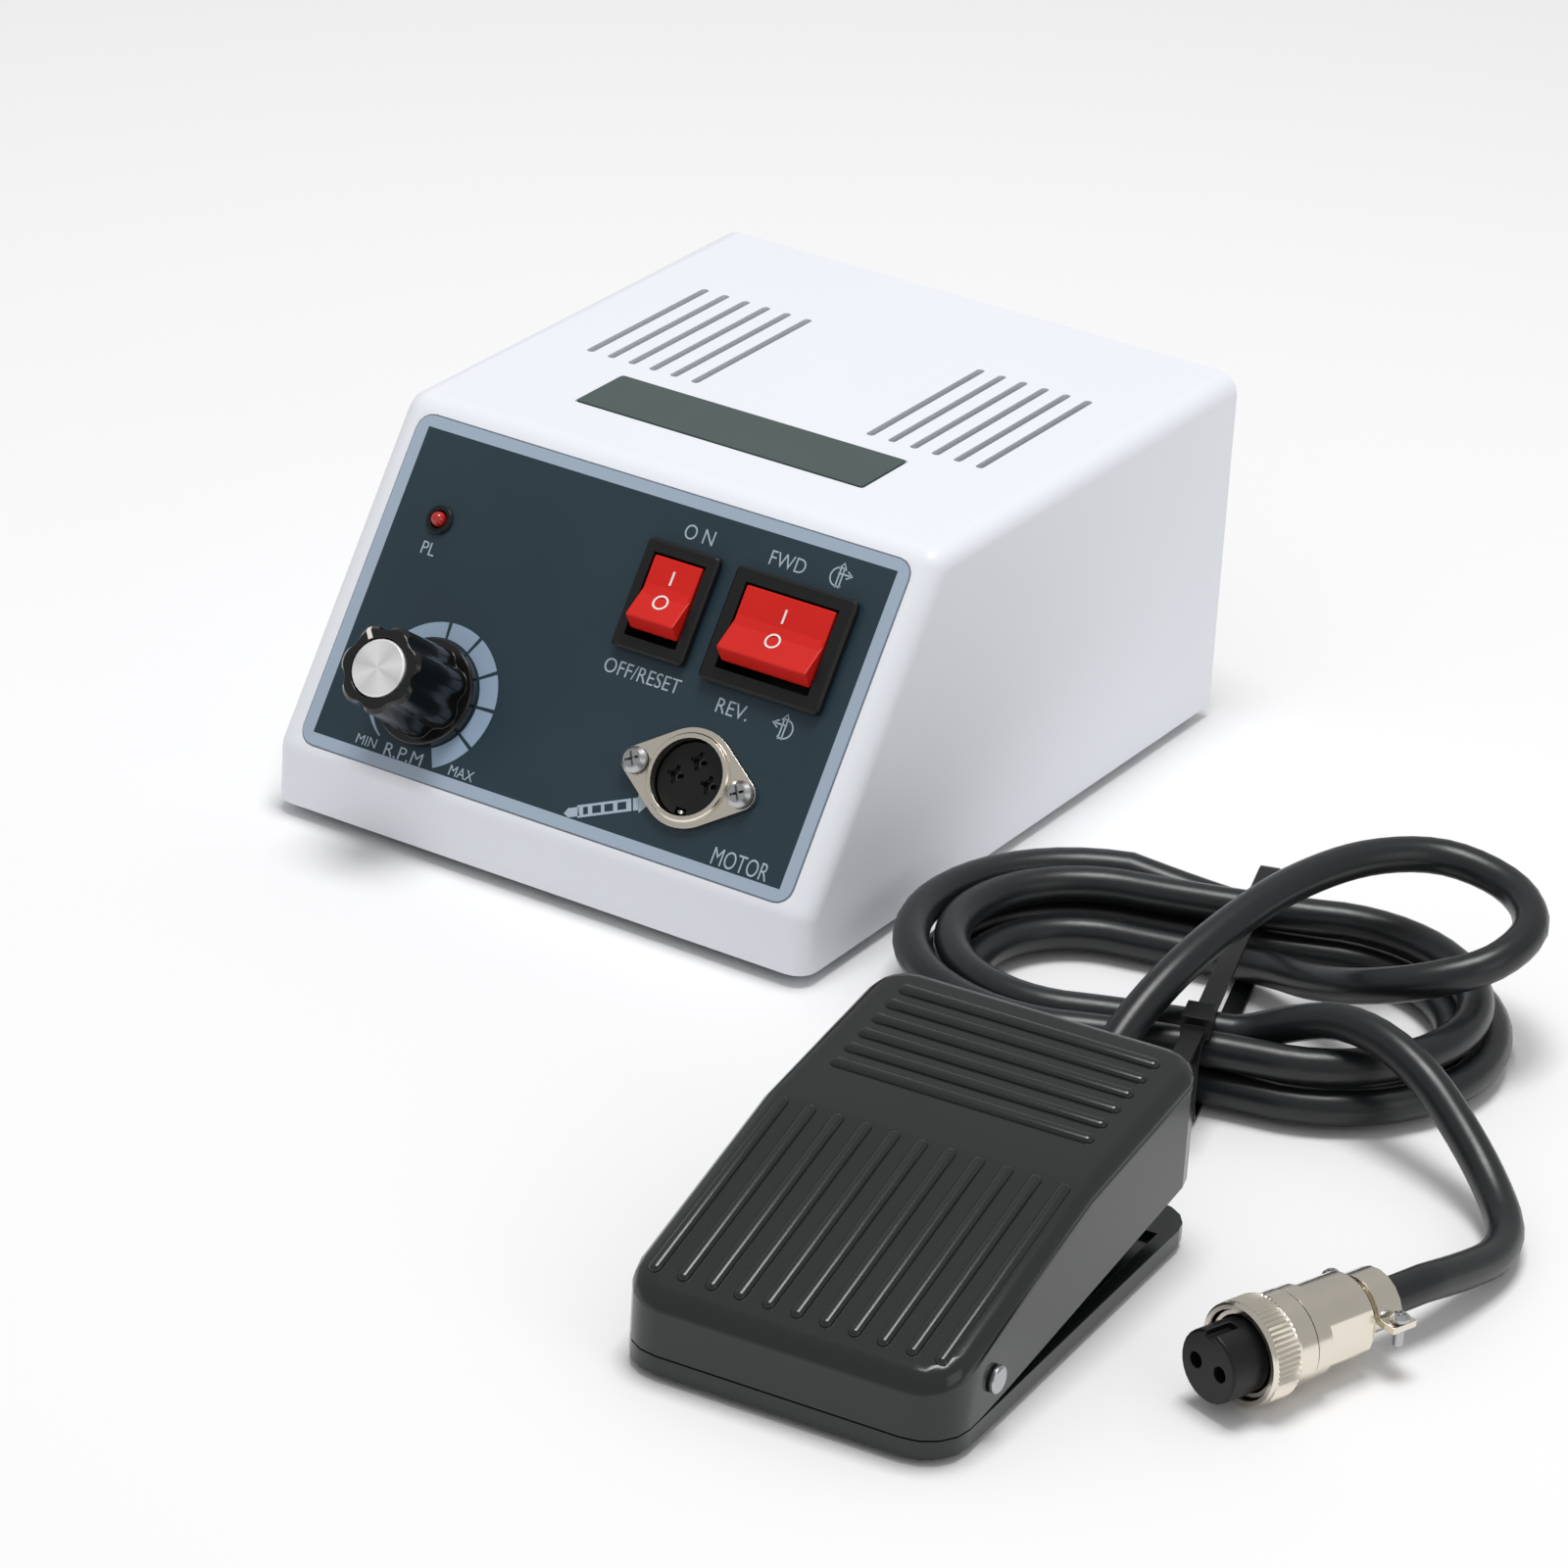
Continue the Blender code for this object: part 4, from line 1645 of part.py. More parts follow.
def cord_clamp(holder):
    """Saddle over the plug's sleeve, with an ear and a screw on each side."""
    inner = PLUG_SLEEVE_RADIUS + GAP
    outer = inner + CLAMP_THICKNESS
    reach = outer + CLAMP_EAR
    ear_angle = math.asin(CLAMP_THICKNESS / outer)
    outline = arc((0, 0), inner, math.pi, 0, 2 * ROUND_STEPS)
    outline += [(reach, 0), (reach, CLAMP_THICKNESS)]
    outline += arc((0, 0), outer, ear_angle, math.pi - ear_angle, 2 * ROUND_STEPS)
    outline += [(-reach, CLAMP_THICKNESS), (-reach, 0)]
    start = PLUG_LENGTH - CLAMP_WIDTH - OVERRUN / 2
    mesh = extruded(outline, start, start + CLAMP_WIDTH, "Y")
    holes = []
    screw_x = outer + CLAMP_EAR / 2 + GAP
    middle = start + CLAMP_WIDTH / 2
    for side in (-1, 1):
        hole = rod(CLAMP_SCREW_RADIUS + GAP, -OVERRUN, CLAMP_THICKNESS + OVERRUN)
        holes.append(shifted(hole, side * screw_x, middle))
    piece("cord_clamp", mesh, "nickel", holder, cut=[joined(holes)])
    for number, side in enumerate((-1, 1), 1):
        pan_screw(
            f"clamp_screw_{number}", holder, (side * screw_x, middle, CLAMP_THICKNESS + GAP),
            CLAMP_SCREW_RADIUS, CLAMP_SCREW_LENGTH, CLAMP_SCREW_HEAD_RADIUS, CLAMP_SCREW_HEAD_HEIGHT,
        )


# Whole set

def floor_centre():
    """Middle of the floor area that the case and the pedal cover, in the case's own frame."""
    left = -CASE_WIDTH / 2
    sine = math.sin(PEDAL_YAW)
    cosine = math.cos(PEDAL_YAW)
    head_x = PEDAL_WIDTH + GAP + HINGE_HEAD_THICKNESS
    head_y = HINGE_Y - HINGE_HEAD_RADIUS
    right = PEDAL_X + head_x * cosine - head_y * sine
    corner = PEDAL_FRONT_CORNER
    front = PEDAL_Y + corner * (sine + cosine - 1)
    back = rear_face() + GAP + FUSE_FLANGE_THICKNESS + GAP + FUSE_CAP_LENGTH
    return (left + right) / 2, (front + back) / 2


def build():
    for existing in list(bpy.data.objects):
        bpy.data.objects.remove(existing, do_unlink=True)
    middle_x, middle_y = floor_centre()
    assembly = empty("assembly", location=(-middle_x, -middle_y, 0))
    case = empty("case", assembly, (0, 0, FOOT_HEIGHT))
    top_shell(case)
    base_plate(case)
    rear_panel(case)
    feet(case)
    case_screws(case)
    nameplate(case)
    transformer(case)
    circuit_board(case)
    mains_inlet(case)
    fuse(case)
    pedal_socket(case)
    face = empty("control_face", case, (0, 0, LIP_HEIGHT), (SLOPE_ANGLE, 0, 0))
    knob_axis = empty("knob_axis", face, (KNOB_X, KNOB_S, 0))
    front_label(face)
    pilot_lamp(face)
    potentiometer(face, knob_axis)
    speed_knob(knob_axis)
    rocker_switch(face, "power", POWER_X, POWER_S, POWER_BEZEL, POWER_WINDOW, (1, 2))
    rocker_switch(face, "direction", DIRECTION_X, DIRECTION_S, DIRECTION_BEZEL, DIRECTION_WINDOW, (2, 3))
    motor_socket(face)
    pedal = empty("pedal", assembly, (PEDAL_X, PEDAL_Y, 0), (0, 0, PEDAL_YAW))
    hinge = empty("pedal_hinge", pedal, (0, HINGE_Y, HINGE_Z))
    pedal_base(pedal)
    pedal_cover(hinge)
    hinge_pin(pedal)
    return_spring(pedal)
    foot_switch(pedal)
    cord_gland(pedal)
    hank = empty("hank", assembly, (HANK_X, HANK_Y, 0), (0, 0, HANK_YAW))
    cord(hank)
    cable_tie(hank)
    plug_holder = empty("plug", assembly, (PLUG_X, PLUG_Y, PLUG_RING_RADIUS), (0, 0, PLUG_YAW))
    plug(plug_holder)
    cord_clamp(plug_holder)
    bpy.context.view_layer.update()


build()
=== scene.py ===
"""Micro-motor nail drill set: finishes, printed legends and the pedal cord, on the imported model.

Everything is in metres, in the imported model's frame, and each piece rides on one of its bodies.
"""

import json
import math

import bmesh
import bpy
from bpy.props import FloatProperty, FloatVectorProperty, PointerProperty
from mathutils import Matrix, Vector

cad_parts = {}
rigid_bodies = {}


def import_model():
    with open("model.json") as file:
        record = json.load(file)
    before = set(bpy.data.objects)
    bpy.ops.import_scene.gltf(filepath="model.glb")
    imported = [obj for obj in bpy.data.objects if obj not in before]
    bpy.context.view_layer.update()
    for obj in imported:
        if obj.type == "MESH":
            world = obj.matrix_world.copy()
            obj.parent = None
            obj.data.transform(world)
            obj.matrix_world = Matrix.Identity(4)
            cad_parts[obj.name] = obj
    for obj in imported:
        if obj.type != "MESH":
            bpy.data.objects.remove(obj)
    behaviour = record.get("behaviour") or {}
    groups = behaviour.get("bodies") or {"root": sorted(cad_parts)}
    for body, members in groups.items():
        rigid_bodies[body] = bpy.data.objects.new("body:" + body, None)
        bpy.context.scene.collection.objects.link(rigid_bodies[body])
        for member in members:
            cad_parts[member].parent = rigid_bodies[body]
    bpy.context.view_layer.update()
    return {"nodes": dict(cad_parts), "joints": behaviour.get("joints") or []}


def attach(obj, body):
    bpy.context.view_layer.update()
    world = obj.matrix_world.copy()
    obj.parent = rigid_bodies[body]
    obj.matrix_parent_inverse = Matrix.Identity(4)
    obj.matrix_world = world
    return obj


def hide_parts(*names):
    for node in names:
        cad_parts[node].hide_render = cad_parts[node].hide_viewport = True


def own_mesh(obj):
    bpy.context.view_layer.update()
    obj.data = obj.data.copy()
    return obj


bl_info = {
    "name": "Nail Drill Set",
    "version": (1, 0, 0),
    "blender": (4, 5, 0),
    "location": "3D View > Sidebar > Nail Drill",
    "description": "Control box, foot pedal and pedal cord of an electric nail drill",
    "category": "Object",
}

for leftover in list(bpy.data.objects):
    bpy.data.objects.remove(leftover, do_unlink=True)
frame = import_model()
NODES = frame["nodes"]
JOINTS = {joint["name"]: joint for joint in frame["joints"]}

MM = 0.001
IMAGE_SIZE = 1600

# Camera: the photograph's viewing angle, and its focal length in pixels
TARGET = Vector((-14.3, 8.5, 26.0)) * MM
AZIMUTH = math.radians(31.2)
ELEVATION = math.radians(26.0)
ROLL = math.radians(3.4)
CAMERA_DISTANCE = 1200 * MM
FOCAL_PIXELS = 6874
SENSOR = 36.0
CLIP = (0.05, 50)

# Finishes: how far the grain and the clouding are broken up, the lens's skin, the cap's rings
GRAIN_DETAIL = 3.0
GRAIN_ROUGHNESS = 0.6
CLOUD_DETAIL = 2.0
LOWEST_ROUGHNESS = 0.02
COAT_ROUGHNESS = 0.15
SPIN_ANISOTROPY = 0.85

# Painted reflection on the faced knob cap: light and dark wedges painted into its colour, as share
# of the turn and brightness
PAINTED_REFLECTION_WEDGES = [
    (0.0, 0.74), (0.1, 1.0), (0.2, 0.8), (0.33, 0.97), (0.46, 0.74),
    (0.56, 1.0), (0.68, 0.78), (0.82, 0.98), (1.0, 0.74),
]

# Meshes: how near two vertices are one, how flat two faces are one, and the angles from which
# edges are shaded sharp or softened
CAD_JOIN = 0.002 * MM
JOIN = 0.001 * MM
FLAT_ANGLE = math.radians(0.3)
SHARP_ANGLE = math.radians(32)
RIB_SHARP_ANGLE = math.radians(50)
EDGE_ANGLE = math.radians(33)
EDGE_SEGMENTS = 2
NORMAL_WEIGHT = 60

# The slope's own frame: x right, s up the slope from the lip
KNOB_X = -30.3 * MM
KNOB_S = 17.1 * MM
LABEL_TOP = 0.2 * MM
PRINT_THICKNESS = 0.04 * MM

# Label film: pale border round a dark inner field
FIELD_SIDE = 50.6 * MM
FIELD_LOW = 3.9 * MM
FIELD_HIGH = 63.8 * MM

# Printed legends in millimetres: text, x, s, width, height
LEGENDS = {
    "legend_lamp": ("PL", -41.4, 42.3, 2.9, 2.4),
    "legend_min": ("MIN", -39.3, 5.4, 4.3, 1.8),
    "legend_rpm": ("R.P.M", -31.0, 5.2, 8.2, 2.4),
    "legend_max": ("MAX", -18.2, 5.3, 5.2, 1.9),
    "legend_on": ("O N", 10.6, 59.5, 6.2, 2.8),
    "legend_off": ("OFF/RESET", 9.7, 32.3, 16.1, 2.7),
    "legend_forward": ("FWD", 29.4, 59.5, 7.4, 2.7),
    "legend_reverse": ("REV.", 29.3, 31.5, 6.6, 2.7),
    "legend_motor": ("MOTOR", 41.6, 5.9, 11.6, 3.2),
}
LETTER_WEIGHT = -0.006
LETTER_CURVE_STEPS = 4
LETTER_JOIN = 0.0001

# Turning signs in millimetres: x, s and the side they face, then their stroke, the arc's centre,
# radius and angles, and their lines
TURN_SIGNS = {"forward_sign": (40.2, 60.0, 1), "reverse_sign": (40.1, 31.3, -1)}
TURN_STROKE = 0.28
TURN_ARC = ((-0.2, -0.3), 1.75, 75, 300)
TURN_LINES = [
    [(-0.35, -2.3), (-0.35, 1.3)],
    [(0.35, -2.3), (0.35, 1.3)],
    [(-0.75, 1.15), (0, 2.35), (0.75, 1.15)],
    [(-0.6, 0.35), (1.9, 0.35)],
    [(1.2, -0.35), (2.35, 0.35), (1.2, 1.05)],
]

# Handpiece sign in millimetres: its place, start, end and width of its bars, and its two points
HANDPIECE_PLACE = (5.0, 4.6)
HANDPIECE_TURN = math.radians(23.5)
HANDPIECE_BARS = [(0.4, 2.6, 1.7), (2.2, 12.9, 2.3), (13.25, 14.4, 2.3)]
HANDPIECE_POINTS = [
    [(14.3, -1.7), (16.9, 0), (14.3, 1.7)],
    [(0.4, -0.85), (-0.5, 0), (0.4, 0.85)],
]
HANDPIECE_BANDS = [(3.4, 4.3, 1.35), (5.2, 6.9, 1.35), (7.6, 9.3, 1.35), (10.2, 11.9, 1.35)]

# Speed dial: a ring in six parts that narrows towards the low end
DIAL_OUTER = 13.9 * MM
DIAL_INNER = 10.2 * MM
DIAL_TIP = (12.0 * MM, 12.3 * MM)
DIAL_ENDS = (236.0, -64.5)
DIAL_GAPS = (94.4, 64.1, 32.6, 2.4, -30.6)
DIAL_TAPER_FROM = 60.0
DIAL_GAP_WIDTH = 0.75 * MM
DIAL_STEP = 4
DIAL_LEAST_STEPS = 8

# Knob: height of its top above the slope, how much taller its grip is drawn, its pointer
KNOB_SOLID_TOP = 15.2 * MM
KNOB_STRETCH = 4.8 * MM
KNOB_TOP = KNOB_SOLID_TOP + KNOB_STRETCH
KNOB_GRIP_FROM = 6 * MM
KNOB_CROWN = 7.5 * MM
KNOB_CHAMFER = 0.8 * MM
KNOB_EDGE = 0.12 * MM
CAP_EDGE = 0.1 * MM
POINTER_START = 5.9 * MM
POINTER_END = KNOB_CROWN + 1.1 * KNOB_CHAMFER
POINTER_DROP = 2.0 * MM
POINTER_WIDTH = 0.9 * MM
POINTER_LIFT = 0.03 * MM
POINTER_THICKNESS = 0.08 * MM
POINTER_ANGLE = math.radians(128.6)

# Pilot lamp
LAMP_HOLDER_EDGE = 0.05 * MM

# Rockers: their centres, how they lean at rest, and the valley between their faces
ROCKERS = {"power": (9.85 * MM, 46.1 * MM), "direction": (33.85 * MM, 45.65 * MM)}
ROCKER_TILT = math.radians(13)
ROCKER_PIVOT_Z = -2.0 * MM
ROCKER_FACE = 4.65 * MM
CREASE_WIDTH = 0.05 * MM
VALLEY_REACH = 3.0 * MM
VALLEY_SEGMENTS = 10
MARK_LIFT = 0.02 * MM

# Marks on the rockers in millimetres: width, length and middle of the bar, then the ring
MARK_BAR = (0.42, 2.6, 2.9)
MARK_BAR_STEPS = 6
MARK_RING = ((0, -2.0), 1.35, 0, 360, 40)
MARK_RING_STROKE = 0.38

# Handpiece socket: contacts sunk in cross-shaped openings, the key's spring and two screws
SOCKET_X = 26.4 * MM
SOCKET_S = 17.4 * MM
SOCKET_SCREW_PITCH = 22.3 * MM
SOCKET_INSERT_TOP = -0.2 * MM
CONTACT_CIRCLE = 3.5 * MM
CONTACT_OUTER = 1.0 * MM
CONTACT_BORE = 0.62 * MM
CONTACT_DEPTH = 2.6 * MM
CONTACT_SUNK = 1.9 * MM
CONTACT_ANGLES = (0, 90, 180)
CONTACT_STEPS = 20
KEY_SPRING = (1.5 * MM, 0.9 * MM, 1.2 * MM)
KEY_SPRING_AT = 6.1 * MM
KEY_SPRING_SEGMENTS = (16, 10)
SCREW_HEAD_TOP = 3.3 * MM

# Cross-shaped recesses in millimetres: blade width, length across, depth
CONTACT_CROSS = (0.8, 3.4, 0.7)
SCREW_CROSS = (0.5, 2.7, 0.8)
CLAMP_CROSS = (0.35, 1.9, 0.6)
SCREW_TURN = math.radians(30)

# What the case holds, and its finishes
INSIDE = {
    "transformer_core": "laminated_steel",
    "transformer_coil": "polyester_tape",
    "circuit_board": "fibreglass_board",
    "filter_capacitor": "capacitor_sleeve",
    "heat_sink": "turned_aluminium",
    "power_transistor": "moulded_abs_black",
}

# Pedal's and plug's places in the case's frame
PEDAL_PLACE = (102 * MM, -126 * MM, 0)
PEDAL_YAW = math.radians(4)
GLAND_END = (29.9 * MM, 92 * MM, 6.5 * MM)
PLUG_PLACE = (186.5 * MM, -74.5 * MM, 8.75 * MM)
PLUG_YAW = math.radians(-18.5)
PLUG_LENGTH = 30.5 * MM
CLAMP_SCREW_X = 7.9 * MM
CLAMP_SCREW_Y = 27.5 * MM
CLAMP_SCREW_TOP = 2.6 * MM

# Coupling ring in millimetres: its teeth and bore, then distance back, crest and valley radius
RING_TEETH = 60
RING_BORE = 7.6
RING_STATIONS = [
    (0, RING_BORE, RING_BORE),
    (0, 8.3, 8.3),
    (0.3, 8.65, 8.65),
    (0.8, 8.65, 8.65),
    (1.1, 8.75, 8.35),
    (5.4, 8.75, 8.35),
    (5.7, 8.65, 8.65),
    (6.2, 8.5, 8.5),
    (6.5, 8.0, 8.0),
    (10, 8.0, 8.0),
    (10, RING_BORE, RING_BORE),
]

# Pedal cover: its broken top, and the rounded ribs on both parts of it
PEDAL_WIDTH = 59.8 * MM
PEDAL_LENGTH = 90 * MM
COVER_FRONT_HEIGHT = 15.5 * MM
COVER_BREAK_Y = 47.5 * MM
COVER_BREAK_HEIGHT = 29.0 * MM
COVER_REAR_HEIGHT = 34.3 * MM
RIB_HEIGHT = 0.8 * MM
RIB_SUNK = 0.3 * MM
RIB_SEGMENTS = 16
RIB_STEPS = 5
RIB_ROUND = 0.48 * math.pi
# Number, pitch, start, end and width
TOE_RIBS = (11, 5.1 * MM, 4.35 * MM, 46.7 * MM, 2.3 * MM)
# Number, pitch, place of the last, length and width
HEEL_RIBS = (6, 4.73 * MM, 82.9 * MM, 48 * MM, 2.6 * MM)

# Pedal cord: lead, hank wound in two layers, tail
CORD_DIAMETER = 6.5 * MM
CORD_ROUND_STEPS = 6
JOIN_GAP = 0.3 * MM
CORD_STEP = 3 * MM
SPAN_STEPS = 20
HANK_PLACE = (119 * MM, 33 * MM, 0)
HANK_YAW = math.radians(18)
HANK_FLOOR = 4.45 * MM
HANK_HALF_RUN = 20 * MM
HANK_INNER_RADIUS = 19.5 * MM
HANK_STEP = 7.2 * MM
HANK_LAYER_RISE = 6.95 * MM
HANK_WAIST_SHARE = 0.035
HANK_END_SHARE = 2 / 3
HANK_POINTS_PER_TURN = 72
HANK_START_TURN = 11 / 24
HANK_CLIMB_START = 2 + 1 / 3
HANK_CLIMB_END = 2 + 1 / 2
HANK_END_TURN = 3 + 11 / 12

# Route points in the hank's own frame, in millimetres: along it, across it, height
LEAD_ROUTE = [
    (-9.6, -47.0, 10.0), (-6.5, -37.5, 16.4), (-1.0, -25.0, 22.4), (6.0, -10.0, 26.2),
    (14.0, 5.5, 28.0), (24.5, 19.0, 28.4), (37.0, 25.6, 27.6), (49.5, 21.5, 26.0),
    (55.0, 10.5, 24.4), (50.5, -1.0, 22.2), (39.8, -5.6, 19.0), (28.5, -3.0, 14.6),
    (19.0, 4.5, 10.0), (11.0, 12.4, 6.8), (4.0, 17.0, 4.9),
]
TAIL_ROUTE = [
    (13.5, -21.3, 12.2), (20.5, -22.4, 15.6), (28.5, -25.3, 18.8), (37.0, -30.3, 19.3),
    (45.5, -36.6, 16.8), (53.5, -43.8, 11.6), (60.0, -51.6, 6.8), (64.0, -60.5, 4.4),
    (63.9, -70.0, 4.5), (60.3, -80.0, 6.4),
]

# Stage: paper floor, even light from all sides, and two lamps' place, size and power
FLOOR_SIZE = 8.0
PAPER_COLOUR = "FBFBFC"
PAPER_ROUGHNESS = 0.9
PAPER_SPECULAR = 0.1
WORLD_LIGHT = 0.46
KEY_PLACE = (0.05, 0.02, 1.25)
KEY_SIZE = 0.5
KEY_POWER = 9.2
FILL_LAMP = ((1.25, -0.25, 0.55), 0.7, 1.2)


def linear(code):
    """Linear RGB of an sRGB hex value."""
    channels = [int(code[i:i + 2], 16) / 255 for i in (0, 2, 4)]
    return tuple(c / 12.92 if c <= 0.04045 else ((c + 0.055) / 1.055) ** 2.4 for c in channels)


# Frames

def slope_frame():
    """Matrix of the slope's frame, worked out from the knob's joint."""
    joint = JOINTS["speed_knob_turn"]
    normal = Vector(joint["axis"]).normalized()
    right = Vector((1, 0, 0))
    up = normal.cross(right)
    turn = Matrix((right, up, normal)).transposed()
    origin = Vector(joint["pos_m"]) - right * KNOB_X - up * KNOB_S
    return Matrix.Translation(origin) @ turn.to_4x4()


SLOPE = slope_frame()
CASE_ORIGIN = Vector((SLOPE.translation.x, SLOPE.translation.y, 0))


def on_slope(x, s, z=LABEL_TOP):
    """Frame of something on the slope, at a height above it."""
    return SLOPE @ Matrix.Translation((x, s, z))


def standing(place, yaw):
    """Frame of something that stands on the floor beside the case."""
    return Matrix.Translation(CASE_ORIGIN + Vector(place)) @ Matrix.Rotation(yaw, 4, "Z")


PEDAL = standing(PEDAL_PLACE, PEDAL_YAW)
HANK = standing(HANK_PLACE, HANK_YAW)
PLUG = standing(PLUG_PLACE, PLUG_YAW)


# Materials

FINISHES = {}


def add_node(tree, kind, settings=None, links=None):
    """Adds a node, sets its properties or inputs by name, and links its inputs to sockets."""
    node = tree.nodes.new(kind)
    for name, value in (settings or {}).items():
        if name in node.bl_rna.properties:
            setattr(node, name, value)
        else:
            node.inputs[name].default_value = value
    for name, socket in (links or {}).items():
        tree.links.new(socket, node.inputs[name])
    return node


def finish(name, colour, roughness, metallic=0.0, grain=0.5, relief=0.004, blotch=12,
           uneven=0.04, wear=0.06, coat=0.0, specular=0.5):
    """A finish with surface grain, slow unevenness of colour and uneven gloss, sizes in mm.

    The grain is drawn as coarse as it needs to be to show. Real moulds and platings are finer.
    """
    if isinstance(colour, str):
        colour = linear(colour)
    made = bpy.data.materials.new(name)
    made.use_nodes = True
    tree = made.node_tree
    tree.nodes.clear()
    place = add_node(tree, "ShaderNodeTexCoord").outputs["Object"]
    grainy = {"Scale": 1 / (grain * MM), "Detail": GRAIN_DETAIL, "Roughness": GRAIN_ROUGHNESS}
    fine = add_node(tree, "ShaderNodeTexNoise", grainy, {"Vector": place}).outputs["Fac"]
    bump = add_node(tree, "ShaderNodeBump", {"Distance": relief * MM, "Strength": 1.0},
                    {"Height": fine})
    looks = {
        "Base Color": (*colour, 1.0), "Roughness": roughness, "Metallic": metallic,
        "Coat Weight": coat, "Coat Roughness": COAT_ROUGHNESS, "Specular IOR Level": specular,
    }
    links = {"Normal": bump.outputs["Normal"]}
    if uneven:
        cloudy = {"Scale": 1 / (blotch * MM), "Detail": CLOUD_DETAIL}
        slow = add_node(tree, "ShaderNodeTexNoise", cloudy, {"Vector": place}).outputs["Fac"]
        tint = add_node(tree, "ShaderNodeMix", {"data_type": "RGBA"}, {"Factor": slow})
        dark, light = [socket for socket in tint.inputs if socket.type == "RGBA"]
        dark.default_value = (*[c * (1 - uneven) for c in colour], 1.0)
        light.default_value = (*[min(1.0, c * (1 + uneven)) for c in colour], 1.0)
        links["Base Color"] = next(s for s in tint.outputs if s.type == "RGBA")
    if wear:
        span = {"To Min": max(LOWEST_ROUGHNESS, roughness - wear),
                "To Max": min(1.0, roughness + wear)}
        gloss = add_node(tree, "ShaderNodeMapRange", span, {"Value": fine})
        links["Roughness"] = gloss.outputs["Result"]
    shader = add_node(tree, "ShaderNodeBsdfPrincipled", looks, links)
    add_node(tree, "ShaderNodeOutputMaterial", links={"Surface": shader.outputs["BSDF"]})
    made.diffuse_color = (*colour, 1.0)
    FINISHES[name] = made
    return tree, shader, place


def spun_aluminium():
    """Aluminium disc faced on a lathe: a highlight stretched round its axis, over light and dark
    wedges painted into its colour as a painted reflection.
    """
    tree, shader, place = finish("spun_aluminium", "E4E5E7", 0.26, 0.5, grain=0.8,
                                 relief=0.0001, uneven=0, wear=0)
    shader.inputs["Anisotropic"].default_value = SPIN_ANISOTROPY
    joint = JOINTS["speed_knob_turn"]
    spoke = add_node(tree, "ShaderNodeVectorMath", {"operation": "SUBTRACT"})
    tree.links.new(place, spoke.inputs[0])
    spoke.inputs[1].default_value = joint["pos_m"]
    around = add_node(tree, "ShaderNodeVectorMath", {"operation": "CROSS_PRODUCT"})
    around.inputs[0].default_value = joint["axis"]
    tree.links.new(spoke.outputs["Vector"], around.inputs[1])
    spaces = {"vector_type": "VECTOR", "convert_from": "OBJECT", "convert_to": "WORLD"}
    tangent = add_node(tree, "ShaderNodeVectorTransform", spaces,
                       {"Vector": around.outputs["Vector"]})
    tree.links.new(tangent.outputs["Vector"], shader.inputs["Tangent"])
    centred = {"vector_type": "TEXTURE", "Location": joint["pos_m"], "Rotation": SLOPE.to_euler()}
    turned = add_node(tree, "ShaderNodeMapping", centred, {"Vector": place})
    # Painted reflection: light and dark wedges round the knob's axis, painted into the base colour
    sweep = add_node(tree, "ShaderNodeTexGradient", {"gradient_type": "RADIAL"},
                     {"Vector": turned.outputs["Vector"]})
    painted_wedges = add_node(tree, "ShaderNodeValToRGB", links={"Fac": sweep.outputs["Fac"]})
    ramp = painted_wedges.color_ramp.elements
    while len(ramp) < len(PAINTED_REFLECTION_WEDGES):
        ramp.new(1.0)
    for element, (at, shade) in zip(ramp, PAINTED_REFLECTION_WEDGES):
        element.position = at
        element.color = (shade, shade, shade, 1.0)
    tree.links.new(painted_wedges.outputs["Color"], shader.inputs["Base Color"])


